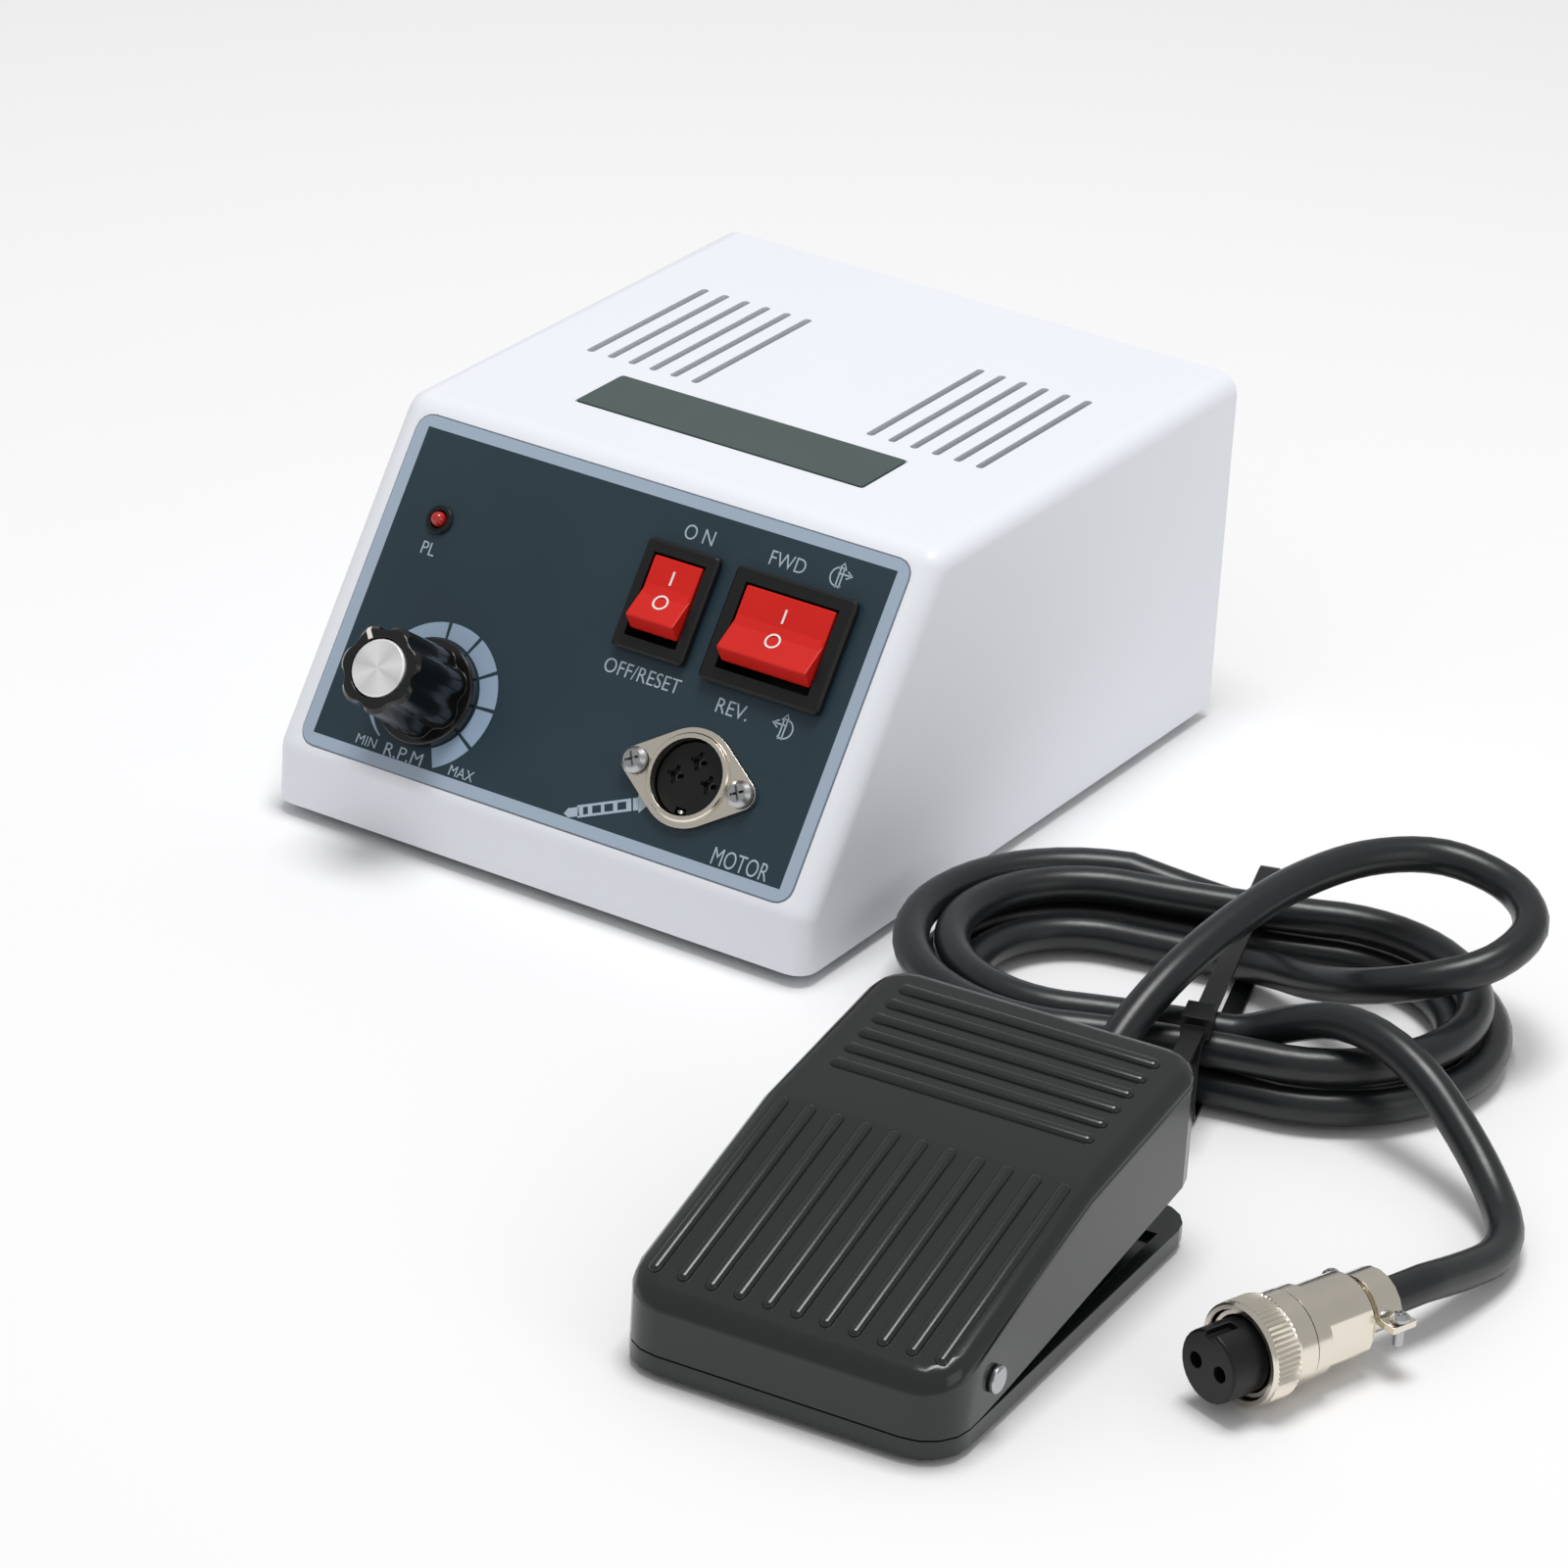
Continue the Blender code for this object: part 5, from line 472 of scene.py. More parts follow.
def make_finishes(settings):
    """Every finish of the set, by its common name."""
    # Spark-eroded mould: a fine even grain that keeps the white satin
    finish("moulded_abs_white", settings.case_colour, 0.42, grain=0.45,
           relief=0.006, blotch=30, uneven=0.012)
    # Screen-printed polyester film: smooth, a little cloudy
    finish("polyester_film_teal", settings.label_colour, 0.36, grain=1.2,
           relief=0.001, blotch=26, uneven=0.14, specular=0.3)
    # The same film with pale blue ink behind it: flat and even
    finish("polyester_film_blue", settings.border_colour, 0.36, grain=1.2,
           relief=0.001, blotch=26, uneven=0.03)
    # Screen-printed legends: pale matt ink, hardly raised
    finish("screen_ink_pale", "A9B9C6", 0.45, grain=0.3, relief=0.001, uneven=0.03)
    # Screen-printed dial: blue-grey matt ink
    finish("screen_ink_blue", "94A8BE", 0.45, grain=0.3, relief=0.001, uneven=0.03)
    # Pad-printed marks on the rockers and the knob: warm white, matt
    finish("screen_ink_white", "EFE4E2", 0.45, grain=0.3, relief=0.001, uneven=0.02)
    # Anodised aluminium plate: grey-green, matt, with no metal glint
    finish("anodised_plate_dark", "41504F", 0.42, relief=0.002, uneven=0.08)
    # Moulded ABS of base, rear panel, switches and sockets: black satin
    finish("moulded_abs_black", "151617", 0.38, grain=0.35, relief=0.003,
           uneven=0.08, specular=0.3)
    # Polished mould: the knob shines
    finish("phenolic_black", "0C0D0D", 0.16, grain=0.6, relief=0.001, uneven=0.1)
    # Moulded polypropylene of the pedal: glossy, with a faintly uneven gloss
    finish("moulded_polypropylene_black", "202424", 0.17, relief=0.001,
           blotch=18, uneven=0.1)
    # Moulded polycarbonate of the rockers: strong red, satin
    finish("polycarbonate_red", settings.rocker_colour, 0.42, grain=0.4,
           relief=0.002, uneven=0.05, specular=0.22)
    # Moulded lens: deep red under a glossy skin that catches the lamp
    finish("lamp_lens_red", "B3201C", 0.12, relief=0.001, coat=0.5)
    # Nickel over brass keeps a warm tone
    finish("nickel_plated_brass", "E6DFD1", 0.2, 1.0, grain=0.8, relief=0.002,
           uneven=0.05)
    # Zinc on steel: cool grey, unevenly dulled
    finish("zinc_plated_steel", "B9BABB", 0.3, 1.0, grain=0.4, relief=0.002,
           uneven=0.06, wear=0.1)
    # Faced aluminium: painted reflection of light and dark wedges in its colour, under a stretched
    # highlight
    spun_aluminium()
    # Turned aluminium: pale satin metal
    finish("turned_aluminium", "D2D4D6", 0.32, 1.0, grain=0.4, relief=0.002)
    # Moulded rubber: dull black that takes no highlight
    finish("moulded_rubber", "1D1E1F", 0.75, relief=0.01, uneven=0.1)
    # Extruded PVC: satin, faintly rippled
    finish("pvc_jacket_black", settings.cord_colour, 0.32, grain=1.6,
           relief=0.015, blotch=20, uneven=0.1)
    # Glass-cloth board: green, faintly rough
    finish("fibreglass_board", "2E6B3C", 0.45, relief=0.01, uneven=0.1)
    # Wound polyester tape: yellow, rippled
    finish("polyester_tape", "C8A23A", 0.4, grain=2.0, relief=0.03, uneven=0.1)
    # Stacked steel sheets: dark grey, rough
    finish("laminated_steel", "5A5C5E", 0.5, 0.8, relief=0.02, uneven=0.1)
    # Shrunk sleeve: dark blue, smooth and glossy
    finish("capacitor_sleeve", "263A5E", 0.35, grain=1.0, relief=0.002)


# Meshes

def linked(name, data):
    """A new object of the scene."""
    made = bpy.data.objects.new(name, data)
    bpy.context.scene.collection.objects.link(made)
    return made


def mesh_data(name, mesh):
    """The shape of a bmesh as mesh data."""
    data = bpy.data.meshes.new(name)
    mesh.to_mesh(data)
    mesh.free()
    return data


def smoothed(data, sharp=SHARP_ANGLE):
    """Shades mesh data smooth except over its sharp edges."""
    data.shade_smooth()
    data.set_sharp_from_angle(angle=sharp)


def placed(name, mesh, look, body="body", sharp=SHARP_ANGLE):
    """Turns a bmesh that is already in the model's frame into a piece that rides on a body."""
    data = mesh_data(name, mesh)
    data.materials.append(FINISHES[look])
    smoothed(data, sharp)
    made = linked(name, data)
    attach(made, body)
    return made


def merged_copy(node):
    """The node's shape with its loose triangles joined and its flat areas made whole."""
    mesh = bmesh.new()
    mesh.from_mesh(NODES[node].data)
    bmesh.ops.remove_doubles(mesh, verts=mesh.verts, dist=CAD_JOIN)
    bmesh.ops.dissolve_limit(mesh, angle_limit=FLAT_ANGLE, verts=mesh.verts, edges=mesh.edges,
                             use_dissolve_boundaries=False)
    return mesh


def rounded_edges(made, width):
    """Softens sharp edges as a mould or a tool leaves them, and keeps flat faces flat."""
    if width:
        bevel = made.modifiers.new("edges", "BEVEL")
        bevel.width = width
        bevel.segments = EDGE_SEGMENTS
        bevel.limit_method = "ANGLE"
        bevel.angle_limit = EDGE_ANGLE
        bevel.profile = 0.5
        bevel.use_clamp_overlap = True
    normals = made.modifiers.new("normals", "WEIGHTED_NORMAL")
    normals.keep_sharp = True
    normals.weight = NORMAL_WEIGHT


def dressed(node, look, edge=0.0, body="body", shape=None, place=None):
    """A smooth-shaded copy of a CAD node in its finish, with softened edges.

    The function shape changes the copy first, in the frame that place gives.
    """
    mesh = merged_copy(node)
    if shape:
        moved(mesh, place.inverted())
        shape(mesh)
        moved(mesh, place)
    made = placed(f"{node}_skin", mesh, look, body)
    rounded_edges(made, edge)
    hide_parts(node)
    return made


def painted(look, *nodes):
    """Gives CAD nodes that keep their own shape a finish."""
    for node in nodes:
        data = NODES[node].data
        data.materials.clear()
        data.materials.append(FINISHES[look])


def moved(mesh, matrix):
    """Moves the whole mesh by a matrix."""
    bmesh.ops.transform(mesh, matrix=matrix, verts=mesh.verts)
    return mesh


def facing_out(mesh):
    """Makes the faces of a mesh agree, and point outwards where it is closed."""
    bmesh.ops.recalc_face_normals(mesh, faces=mesh.faces)
    return mesh


def bridged(mesh, rings, closed=False):
    """Walls from each ring of vertices to the next, and from the last to the first if closed."""
    edges = [list({edge for vert in ring for edge in vert.link_edges}) for ring in rings]
    for first, second in zip(edges, edges[1:] + (edges[:1] if closed else [])):
        bmesh.ops.bridge_loops(mesh, edges=first + second)
    return edges


def ribbon(mesh, points, width, across=None):
    """Flat ribbon through points: one edge extruded from point to point."""
    steps = [Vector(point) for point in points]
    edge = None
    for i, point in enumerate(steps):
        ahead = steps[min(i + 1, len(steps) - 1)] - steps[max(i - 1, 0)]
        side = Vector(across) if across else Vector((-ahead.y, ahead.x, 0)).normalized()
        offset = side * width / 2
        if edge is None:
            left, right = mesh.verts.new(point + offset), mesh.verts.new(point - offset)
            edge = mesh.edges.new((left, right))
            continue
        grown = bmesh.ops.extrude_edge_only(mesh, edges=[edge])["geom"]
        edge = next(item for item in grown if isinstance(item, bmesh.types.BMEdge)
                    and not any(v in (left, right) for v in item.verts))
        fresh = list(edge.verts)
        near_left = min(fresh, key=lambda v: (v.co - left.co).length)
        left, right = near_left, fresh[0] if near_left is fresh[1] else fresh[1]
        left.co = point + offset
        right.co = point - offset


def flat(points):
    """Points of a plane, given in millimetres."""
    return [(x * MM, y * MM, 0) for x, y in points]


def bars(mesh, rows):
    """Flat bars along x, each given by its start, end and width in millimetres."""
    for start, end, width in rows:
        ribbon(mesh, flat([(start, 0), (end, 0)]), width * MM)


def thickened(mesh, thickness=PRINT_THICKNESS):
    """Raises a flat sheet in the slope's plane into a thin closed plate."""
    bmesh.ops.remove_doubles(mesh, verts=mesh.verts, dist=JOIN)
    facing_out(mesh)
    for face in mesh.faces:
        face.normal_update()
    if sum(face.normal.z * face.calc_area() for face in mesh.faces) < 0:
        bmesh.ops.reverse_faces(mesh, faces=mesh.faces)
    grown = bmesh.ops.extrude_face_region(mesh, geom=list(mesh.faces), use_keep_orig=True)["geom"]
    top = [item for item in grown if isinstance(item, bmesh.types.BMVert)]
    bmesh.ops.translate(mesh, vec=(0, 0, thickness), verts=top)
    return facing_out(mesh)


def arc_points(centre, radius, start, end, steps=24):
    """Points of an arc, with its angles in degrees."""
    x, y = centre
    angles = [math.radians(start + (end - start) * i / steps) for i in range(steps + 1)]
    return [(x + radius * math.cos(angle), y + radius * math.sin(angle)) for angle in angles]


# Printed label

def label_film():
    """The film's border and inner field, on a copy of the film's own plate."""
    mesh = moved(merged_copy("front_label"), SLOPE.inverted())
    cuts = [((x, 0, 0), (1, 0, 0)) for x in (-FIELD_SIDE, FIELD_SIDE)]
    cuts += [((0, s, 0), (0, 1, 0)) for s in (FIELD_LOW, FIELD_HIGH)]
    for point, across in cuts:
        bmesh.ops.bisect_plane(mesh, geom=[*mesh.verts, *mesh.edges, *mesh.faces],
                               plane_co=point, plane_no=across)
    for face in mesh.faces:
        middle = face.calc_center_median()
        inside = abs(middle.x) < FIELD_SIDE and FIELD_LOW < middle.y < FIELD_HIGH
        face.material_index = 1 if inside else 0
    made = placed("label_film_skin", moved(mesh, SLOPE), "polyester_film_blue")
    made.data.materials.append(FINISHES["polyester_film_teal"])
    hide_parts("front_label")


def lettering(name, text, x, s, width, height):
    """Printed word, drawn in the built-in typeface and fitted to its printed size."""
    curve = bpy.data.curves.new(name, "FONT")
    curve.body = text
    curve.size = 1.0
    curve.offset = LETTER_WEIGHT
    curve.extrude = 0.5
    curve.resolution_u = LETTER_CURVE_STEPS
    holder = linked(name, curve)
    graph = bpy.context.evaluated_depsgraph_get()
    data = bpy.data.meshes.new_from_object(holder.evaluated_get(graph))
    mesh = bmesh.new()
    mesh.from_mesh(data)
    bpy.data.objects.remove(holder)
    bpy.data.meshes.remove(data)
    bmesh.ops.remove_doubles(mesh, verts=mesh.verts, dist=LETTER_JOIN)
    low = Vector([min(v.co[k] for v in mesh.verts) for k in range(3)])
    high = Vector([max(v.co[k] for v in mesh.verts) for k in range(3)])
    size = high - low
    scale = Vector((width * MM / size.x, height * MM / size.y, PRINT_THICKNESS))
    bmesh.ops.translate(mesh, vec=-(low + high) / 2, verts=mesh.verts)
    bmesh.ops.scale(mesh, vec=scale, verts=mesh.verts)
    moved(facing_out(mesh), on_slope(x * MM, s * MM, LABEL_TOP + PRINT_THICKNESS / 2))
    placed(name, mesh, "screen_ink_pale")


def dial_radius(angle, outer):
    """Edge of the dial at an angle: full width at the high end, nearly a point at the low end."""
    full = DIAL_OUTER if outer else DIAL_INNER
    share = max(0.0, (angle - DIAL_TAPER_FROM) / (DIAL_ENDS[0] - DIAL_TAPER_FROM))
    return full + (DIAL_TIP[1 if outer else 0] - full) * share


def speed_dial():
    """Six parts of the printed ring, each a radial edge spun round the knob."""
    mesh = bmesh.new()
    stops = [DIAL_ENDS[0], *DIAL_GAPS, DIAL_ENDS[1]]
    trim = math.degrees(DIAL_GAP_WIDTH / 2 / DIAL_OUTER)
    for high, low in zip(stops, stops[1:]):
        start = low + (trim if low != DIAL_ENDS[1] else 0)
        end = high - (trim if high != DIAL_ENDS[0] else 0)
        direction = Vector((math.cos(math.radians(start)), math.sin(math.radians(start)), 0))
        inner = mesh.verts.new(direction * DIAL_INNER)
        outer = mesh.verts.new(direction * DIAL_OUTER)
        edge = mesh.edges.new((inner, outer))
        bmesh.ops.spin(mesh, geom=[inner, outer, edge], cent=(0, 0, 0), axis=(0, 0, 1),
                       dvec=(0, 0, 0), angle=math.radians(end - start),
                       steps=max(DIAL_LEAST_STEPS, round((end - start) / DIAL_STEP)))
    middle = (DIAL_INNER + DIAL_OUTER) / 2
    for vert in mesh.verts:
        angle = math.degrees(math.atan2(vert.co.y, vert.co.x))
        if angle < DIAL_ENDS[1] - 1:
            angle += 360
        vert.co = vert.co.normalized() * dial_radius(angle, vert.co.length > middle)
    placed("speed_dial", moved(thickened(mesh), on_slope(KNOB_X, KNOB_S)), "screen_ink_blue")


def turning_sign(name, x, s, side):
    """Turning sign: a shaft with an arrow round it, mirrored for the other direction."""
    mesh = bmesh.new()
    for line in [arc_points(*TURN_ARC), *TURN_LINES]:
        ribbon(mesh, flat(line), TURN_STROKE * MM)
    bmesh.ops.scale(mesh, vec=(side, 1, 1), verts=mesh.verts)
    placed(name, moved(thickened(mesh), on_slope(x * MM, s * MM)), "screen_ink_pale")


def handpiece_sign():
    """Small sign of a handpiece: nose, barrel with dark bands, tapered end."""
    x, s = HANDPIECE_PLACE
    place = on_slope(x * MM, s * MM) @ Matrix.Rotation(HANDPIECE_TURN, 4, "Z")
    pale = bmesh.new()
    bars(pale, HANDPIECE_BARS)
    for corners in HANDPIECE_POINTS:
        pale.faces.new([pale.verts.new(corner) for corner in flat(corners)])
    placed("handpiece_sign", moved(thickened(pale), place), "screen_ink_pale")
    dark = bmesh.new()
    bars(dark, HANDPIECE_BANDS)
    moved(thickened(dark), place @ Matrix.Translation((0, 0, PRINT_THICKNESS)))
    placed("handpiece_sign_bands", dark, "polyester_film_teal")


# Cord

def smooth_points(route, step):
    """Evenly spaced points on a smooth curve through the route's points."""
    fine = []
    padded = [2 * route[0] - route[1]] + route + [2 * route[-1] - route[-2]]
    for before, start, end, after in zip(padded, padded[1:], padded[2:], padded[3:]):
        first = (end - before) / 2
        second = (after - start) / 2
        for i in range(SPAN_STEPS):
            t = i / SPAN_STEPS
            fine.append(
                start * (2 * t**3 - 3 * t**2 + 1) + end * (3 * t**2 - 2 * t**3)
                + first * (t**3 - 2 * t**2 + t) + second * (t**3 - t**2)
            )
    fine.append(route[-1])
    lengths = [0.0]
    for a, b in zip(fine, fine[1:]):
        lengths.append(lengths[-1] + (b - a).length)
    count = max(2, round(lengths[-1] / step))
    points = []
    place = 0
    for i in range(count + 1):
        target = lengths[-1] * i / count
        while place < len(fine) - 2 and lengths[place + 1] < target:
            place += 1
        span = lengths[place + 1] - lengths[place]
        points.append(fine[place].lerp(fine[place + 1], (target - lengths[place]) / span))
    return points


def hank_point(turn, radius, height):
    """Point of a long loop: half a turn is a round end, then a run that is drawn in midway."""
    half_turn = 2 * (turn % 1.0)
    side = 1 if half_turn < 1 else -1
    share = half_turn % 1.0
    if share < HANK_END_SHARE:
        angle = math.pi * (share / HANK_END_SHARE - 1 / 2)
        x = HANK_HALF_RUN + radius * math.cos(angle)
        return Vector((side * x, side * radius * math.sin(angle), height))
    along = (share - HANK_END_SHARE) / (1 - HANK_END_SHARE)
    x = HANK_HALF_RUN * (1 - 2 * along)
    waist = 1 - HANK_WAIST_SHARE * (1 - (x / HANK_HALF_RUN) ** 2)
    return Vector((side * x, side * radius * waist, height))


def hank_path():
    """Winds out in the lower layer, climbs along the back run, winds in above."""
    outer = HANK_INNER_RADIUS + HANK_STEP * (HANK_CLIMB_START - HANK_START_TURN)
    turns = HANK_END_TURN - HANK_START_TURN
    count = round(turns * HANK_POINTS_PER_TURN)
    points = []
    for i in range(count + 1):
        turn = HANK_START_TURN + turns * i / count
        if turn <= HANK_CLIMB_START:
            radius = HANK_INNER_RADIUS + HANK_STEP * (turn - HANK_START_TURN)
            height = HANK_FLOOR
        elif turn < HANK_CLIMB_END:
            radius = outer
            climbed = (turn - HANK_CLIMB_START) / (HANK_CLIMB_END - HANK_CLIMB_START)
            height = HANK_FLOOR + HANK_LAYER_RISE * climbed
        else:
            radius = outer - HANK_STEP * (turn - HANK_CLIMB_END)
            height = HANK_FLOOR + HANK_LAYER_RISE
        points.append(hank_point(turn, radius, height))
    return points


def straight_run(start, direction):
    """Start of a cord that leaves a face squarely for one diameter."""
    heading = direction.normalized()
    return [start + heading * JOIN_GAP, start + heading * (JOIN_GAP + CORD_DIAMETER)]


def stretch(start, route, finish_run):
    """Joins the two straight ends by a smooth curve through the route."""
    after_start = 2 * start[1] - start[0].lerp(start[1], 1 / 2)
    before_finish = 2 * finish_run[1] - finish_run[0].lerp(finish_run[1], 1 / 2)
    middle = [start[1], after_start] + [Vector(point) * MM for point in route]
    middle += [before_finish, finish_run[1]]
    return [start[0]] + smooth_points(middle, CORD_STEP) + [finish_run[0]]


def cord_path():
    """The whole cord's centreline in the model's frame, from the pedal's gland to the plug."""
    turns = hank_path()
    along = Vector((0, 1, 0))
    from_pedal = HANK.inverted() @ PEDAL
    from_plug = HANK.inverted() @ PLUG
    lead_start = straight_run(from_pedal @ Vector(GLAND_END), from_pedal.to_3x3() @ along)
    lead = stretch(lead_start, LEAD_ROUTE, straight_run(turns[0], turns[0] - turns[1]))
    tail_end = straight_run(from_plug @ Vector((0, PLUG_LENGTH, 0)), from_plug.to_3x3() @ along)
    tail = stretch(straight_run(turns[-1], turns[-1] - turns[-2]), TAIL_ROUTE, tail_end)
    return [HANK @ point for point in lead + turns + tail]


# Stage

def make_camera():
    """Camera at the photograph's viewing angle."""
    camera = linked("camera", bpy.data.cameras.new("camera"))
    level = math.cos(ELEVATION)
    back = Vector((math.sin(AZIMUTH) * level, -math.cos(AZIMUTH) * level, math.sin(ELEVATION)))
    right = Vector((math.cos(AZIMUTH), math.sin(AZIMUTH), 0))
    axes = Matrix((right, back.cross(right), back)).transposed()
    turn = axes @ Matrix.Rotation(ROLL, 3, "Z")
    camera.matrix_world = Matrix.Translation(TARGET + back * CAMERA_DISTANCE) @ turn.to_4x4()
    camera.data.sensor_fit = "HORIZONTAL"
    camera.data.sensor_width = SENSOR
    camera.data.lens = FOCAL_PIXELS / IMAGE_SIZE * SENSOR
    camera.data.clip_start, camera.data.clip_end = CLIP
    bpy.context.scene.camera = camera


def make_floor():
    """Plain pale floor of matt paper."""
    mesh = bmesh.new()
    bmesh.ops.create_grid(mesh, x_segments=1, y_segments=1, size=FLOOR_SIZE / 2)
    floor = linked("floor", mesh_data("floor", mesh))
    paper = bpy.data.materials.new("matt_paper")
    paper.use_nodes = True
    inputs = paper.node_tree.nodes["Principled BSDF"].inputs
    inputs["Base Color"].default_value = (*linear(PAPER_COLOUR), 1.0)
    inputs["Roughness"].default_value = PAPER_ROUGHNESS
    inputs["Specular IOR Level"].default_value = PAPER_SPECULAR
    floor.data.materials.append(paper)


def make_world():
    """Even soft light from all sides."""
    world = bpy.data.worlds.new("studio")
    bpy.context.scene.world = world
    world.use_nodes = True
    tree = world.node_tree
    tree.nodes.clear()
    soft = add_node(tree, "ShaderNodeBackground", {"Color": (1, 1, 1, 1), "Strength": WORLD_LIGHT})
    add_node(tree, "ShaderNodeOutputWorld", links={"Surface": soft.outputs["Background"]})


def make_lamp(name, place, size, power):
    """Square soft lamp that looks at the middle of the picture."""
    lamp = bpy.data.lights.new(name, "AREA")
    lamp.shape = "SQUARE"
    lamp.size = size
    lamp.energy = power
    holder = linked(name, lamp)
    holder.location = place
    holder.rotation_euler = (Vector(place) - TARGET).to_track_quat("Z", "Y").to_euler()


# What a user can change

def colour_property(name, description, code):
    """Colour that a user can change, from an sRGB hex value."""
    return FloatVectorProperty(name=name, description=description, subtype="COLOR", size=3,
                               min=0, max=1, default=linear(code))


class NailDrillSettings(bpy.types.PropertyGroup):
    """Colours, sizes and light that a user can change"""
    case_colour: colour_property("Case", "Colour of the moulded case", "EDF0F6")
    label_colour: colour_property("Label", "Colour of the label's inner field", "2A3B45")
    border_colour: colour_property("Border", "Colour of the label's border", "A3B3C4")
    rocker_colour: colour_property("Rockers", "Colour of the two rockers", "D2211A")
    cord_colour: colour_property("Cord", "Colour of the pedal cord's jacket", "1A1C1E")
    cord_diameter: FloatProperty(
        name="Cord diameter", description="Outside diameter of the pedal cord", subtype="DISTANCE",
        unit="LENGTH", default=CORD_DIAMETER, min=1 * MM)
    edge: FloatProperty(
        name="Edge radius", description="Radius that moulding leaves on sharp edges",
        subtype="DISTANCE", unit="LENGTH", default=0.2 * MM, min=0)
    key_power: FloatProperty(
        name="Overhead lamp", description="Power of the overhead soft lamp", subtype="POWER",
        default=KEY_POWER, min=0)


class StageOperator(bpy.types.Operator):
    """Set up the camera, the floor, the lamps and the finishes"""
    bl_idname = "nail_drill.stage"
    bl_label = "Stage"

    def execute(self, context):
        scene = context.scene
        scene.view_settings.view_transform = "Standard"
        make_finishes(scene.nail_drill)
        make_camera()
        make_floor()
        make_world()
        make_lamp("overhead_lamp", KEY_PLACE, KEY_SIZE, scene.nail_drill.key_power)
        make_lamp("side_lamp", *FILL_LAMP)
        return {"FINISHED"}


# Plug and cord

def knurled_ring():
    """The plug's coupling ring: a band of straight knurling, then a smooth neck."""
    mesh = bmesh.new()
    rings = []
    for back, crest, valley in RING_STATIONS:
        ring = bmesh.ops.create_circle(mesh, cap_ends=False, segments=2 * RING_TEETH,
                                       radius=crest * MM)["verts"]
        for vert in ring[1::2]:
            vert.co *= valley / crest
        bmesh.ops.translate(mesh, vec=(0, 0, -back * MM), verts=ring)
        rings.append(ring)
    bridged(mesh, rings, closed=True)
    moved(facing_out(mesh), Matrix.Rotation(math.pi / 2, 4, "X"))
    return moved(mesh, PLUG)


def crossed(node, look, places, recess, turn=0.0):
    """A copy of a CAD node with cross-shaped recesses cut in it at the given places."""
    made = placed(f"{node}_skin", merged_copy(node), look)
    width, length, depth = [size * MM for size in recess]
    cutter = bmesh.new()
    for place in places:
        for size in ((width, length), (length, width)):
            box = bmesh.ops.create_cube(cutter, size=1.0)["verts"]
            bmesh.ops.scale(cutter, vec=(*size, 2 * depth), verts=box)
            bmesh.ops.transform(cutter, matrix=place @ Matrix.Rotation(turn, 4, "Z"), verts=box)
    tool = linked("recess", mesh_data("recess", cutter))
    cut = made.modifiers.new("recess", "BOOLEAN")
    cut.operation = "DIFFERENCE"
    cut.use_self = True
    cut.object = tool
    graph = bpy.context.evaluated_depsgraph_get()
    carved = bpy.data.meshes.new_from_object(made.evaluated_get(graph))
    made.modifiers.clear()
    made.data = carved
    data = tool.data
    bpy.data.objects.remove(tool)
    bpy.data.meshes.remove(data)
    smoothed(carved)
    rounded_edges(made, 0)
    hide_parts(node)


class PlugOperator(bpy.types.Operator):
    """Finish the pedal plug: ring, body, insert, cord clamp and the tie on the hank"""
    bl_idname = "nail_drill.plug"
    bl_label = "Plug"

    def execute(self, context):
        edge = context.scene.nail_drill.edge / 2
        ring = placed("coupling_ring_skin", knurled_ring(), "nickel_plated_brass", "plug_ring")
        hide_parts("coupling_ring")
        dressed("plug_body", "nickel_plated_brass", edge)
        dressed("plug_insert", "moulded_abs_black", edge)
        dressed("cord_clamp", "nickel_plated_brass", edge)
        dressed("cable_tie", "moulded_abs_black", edge)
        for number, side in ((1, -1), (2, 1)):
            at = (side * CLAMP_SCREW_X, CLAMP_SCREW_Y, CLAMP_SCREW_TOP)
            crossed(f"clamp_screw_{number}", "zinc_plated_steel", [PLUG @ Matrix.Translation(at)],
                    CLAMP_CROSS, SCREW_TURN)
        return {"FINISHED"}


class CordOperator(bpy.types.Operator):
    """Lay the pedal cord: lead, tied hank and tail in one length"""
    bl_idname = "nail_drill.cord"
    bl_label = "Pedal cord"

    def execute(self, context):
        path = cord_path()
        curve = bpy.data.curves.new("pedal_cord", "CURVE")
        curve.dimensions = "3D"
        curve.bevel_depth = context.scene.nail_drill.cord_diameter / 2
        curve.bevel_resolution = CORD_ROUND_STEPS
        curve.use_fill_caps = True
        spline = curve.splines.new("POLY")
        spline.points.add(len(path) - 1)
        for point, place in zip(spline.points, path):
            point.co = (*place, 1.0)
        spline.use_smooth = True
        curve.materials.append(FINISHES["pvc_jacket_black"])
        cord = linked("pedal_cord", curve)
        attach(cord, "body")
        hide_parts("cord_lead", "cord_hank", "cord_tail")
        return {"FINISHED"}


# Box

class CaseOperator(bpy.types.Operator):
    """Finish the case: shell, base, rear panel, feet, screws and nameplate"""
    bl_idname = "nail_drill.case"
    bl_label = "Case"

    def execute(self, context):
        edge = context.scene.nail_drill.edge
        dressed("top_shell", "moulded_abs_white", edge)
        dressed("base_plate", "moulded_abs_black", edge)
        dressed("rear_panel", "moulded_abs_black", edge)
        dressed("nameplate", "anodised_plate_dark", edge / 4)
        for number in range(1, 5):
            dressed(f"foot_{number}", "moulded_rubber", edge)
            painted("zinc_plated_steel", f"case_screw_{number}")
        return {"FINISHED"}


class LabelOperator(bpy.types.Operator):
    """Print the front label: film, dial, legends and signs"""
    bl_idname = "nail_drill.label"
    bl_label = "Label"

    def execute(self, context):
        label_film()
        for name, legend in LEGENDS.items():
            lettering(name, *legend)
        speed_dial()
        for name, sign in TURN_SIGNS.items():
            turning_sign(name, *sign)
        handpiece_sign()
        return {"FINISHED"}


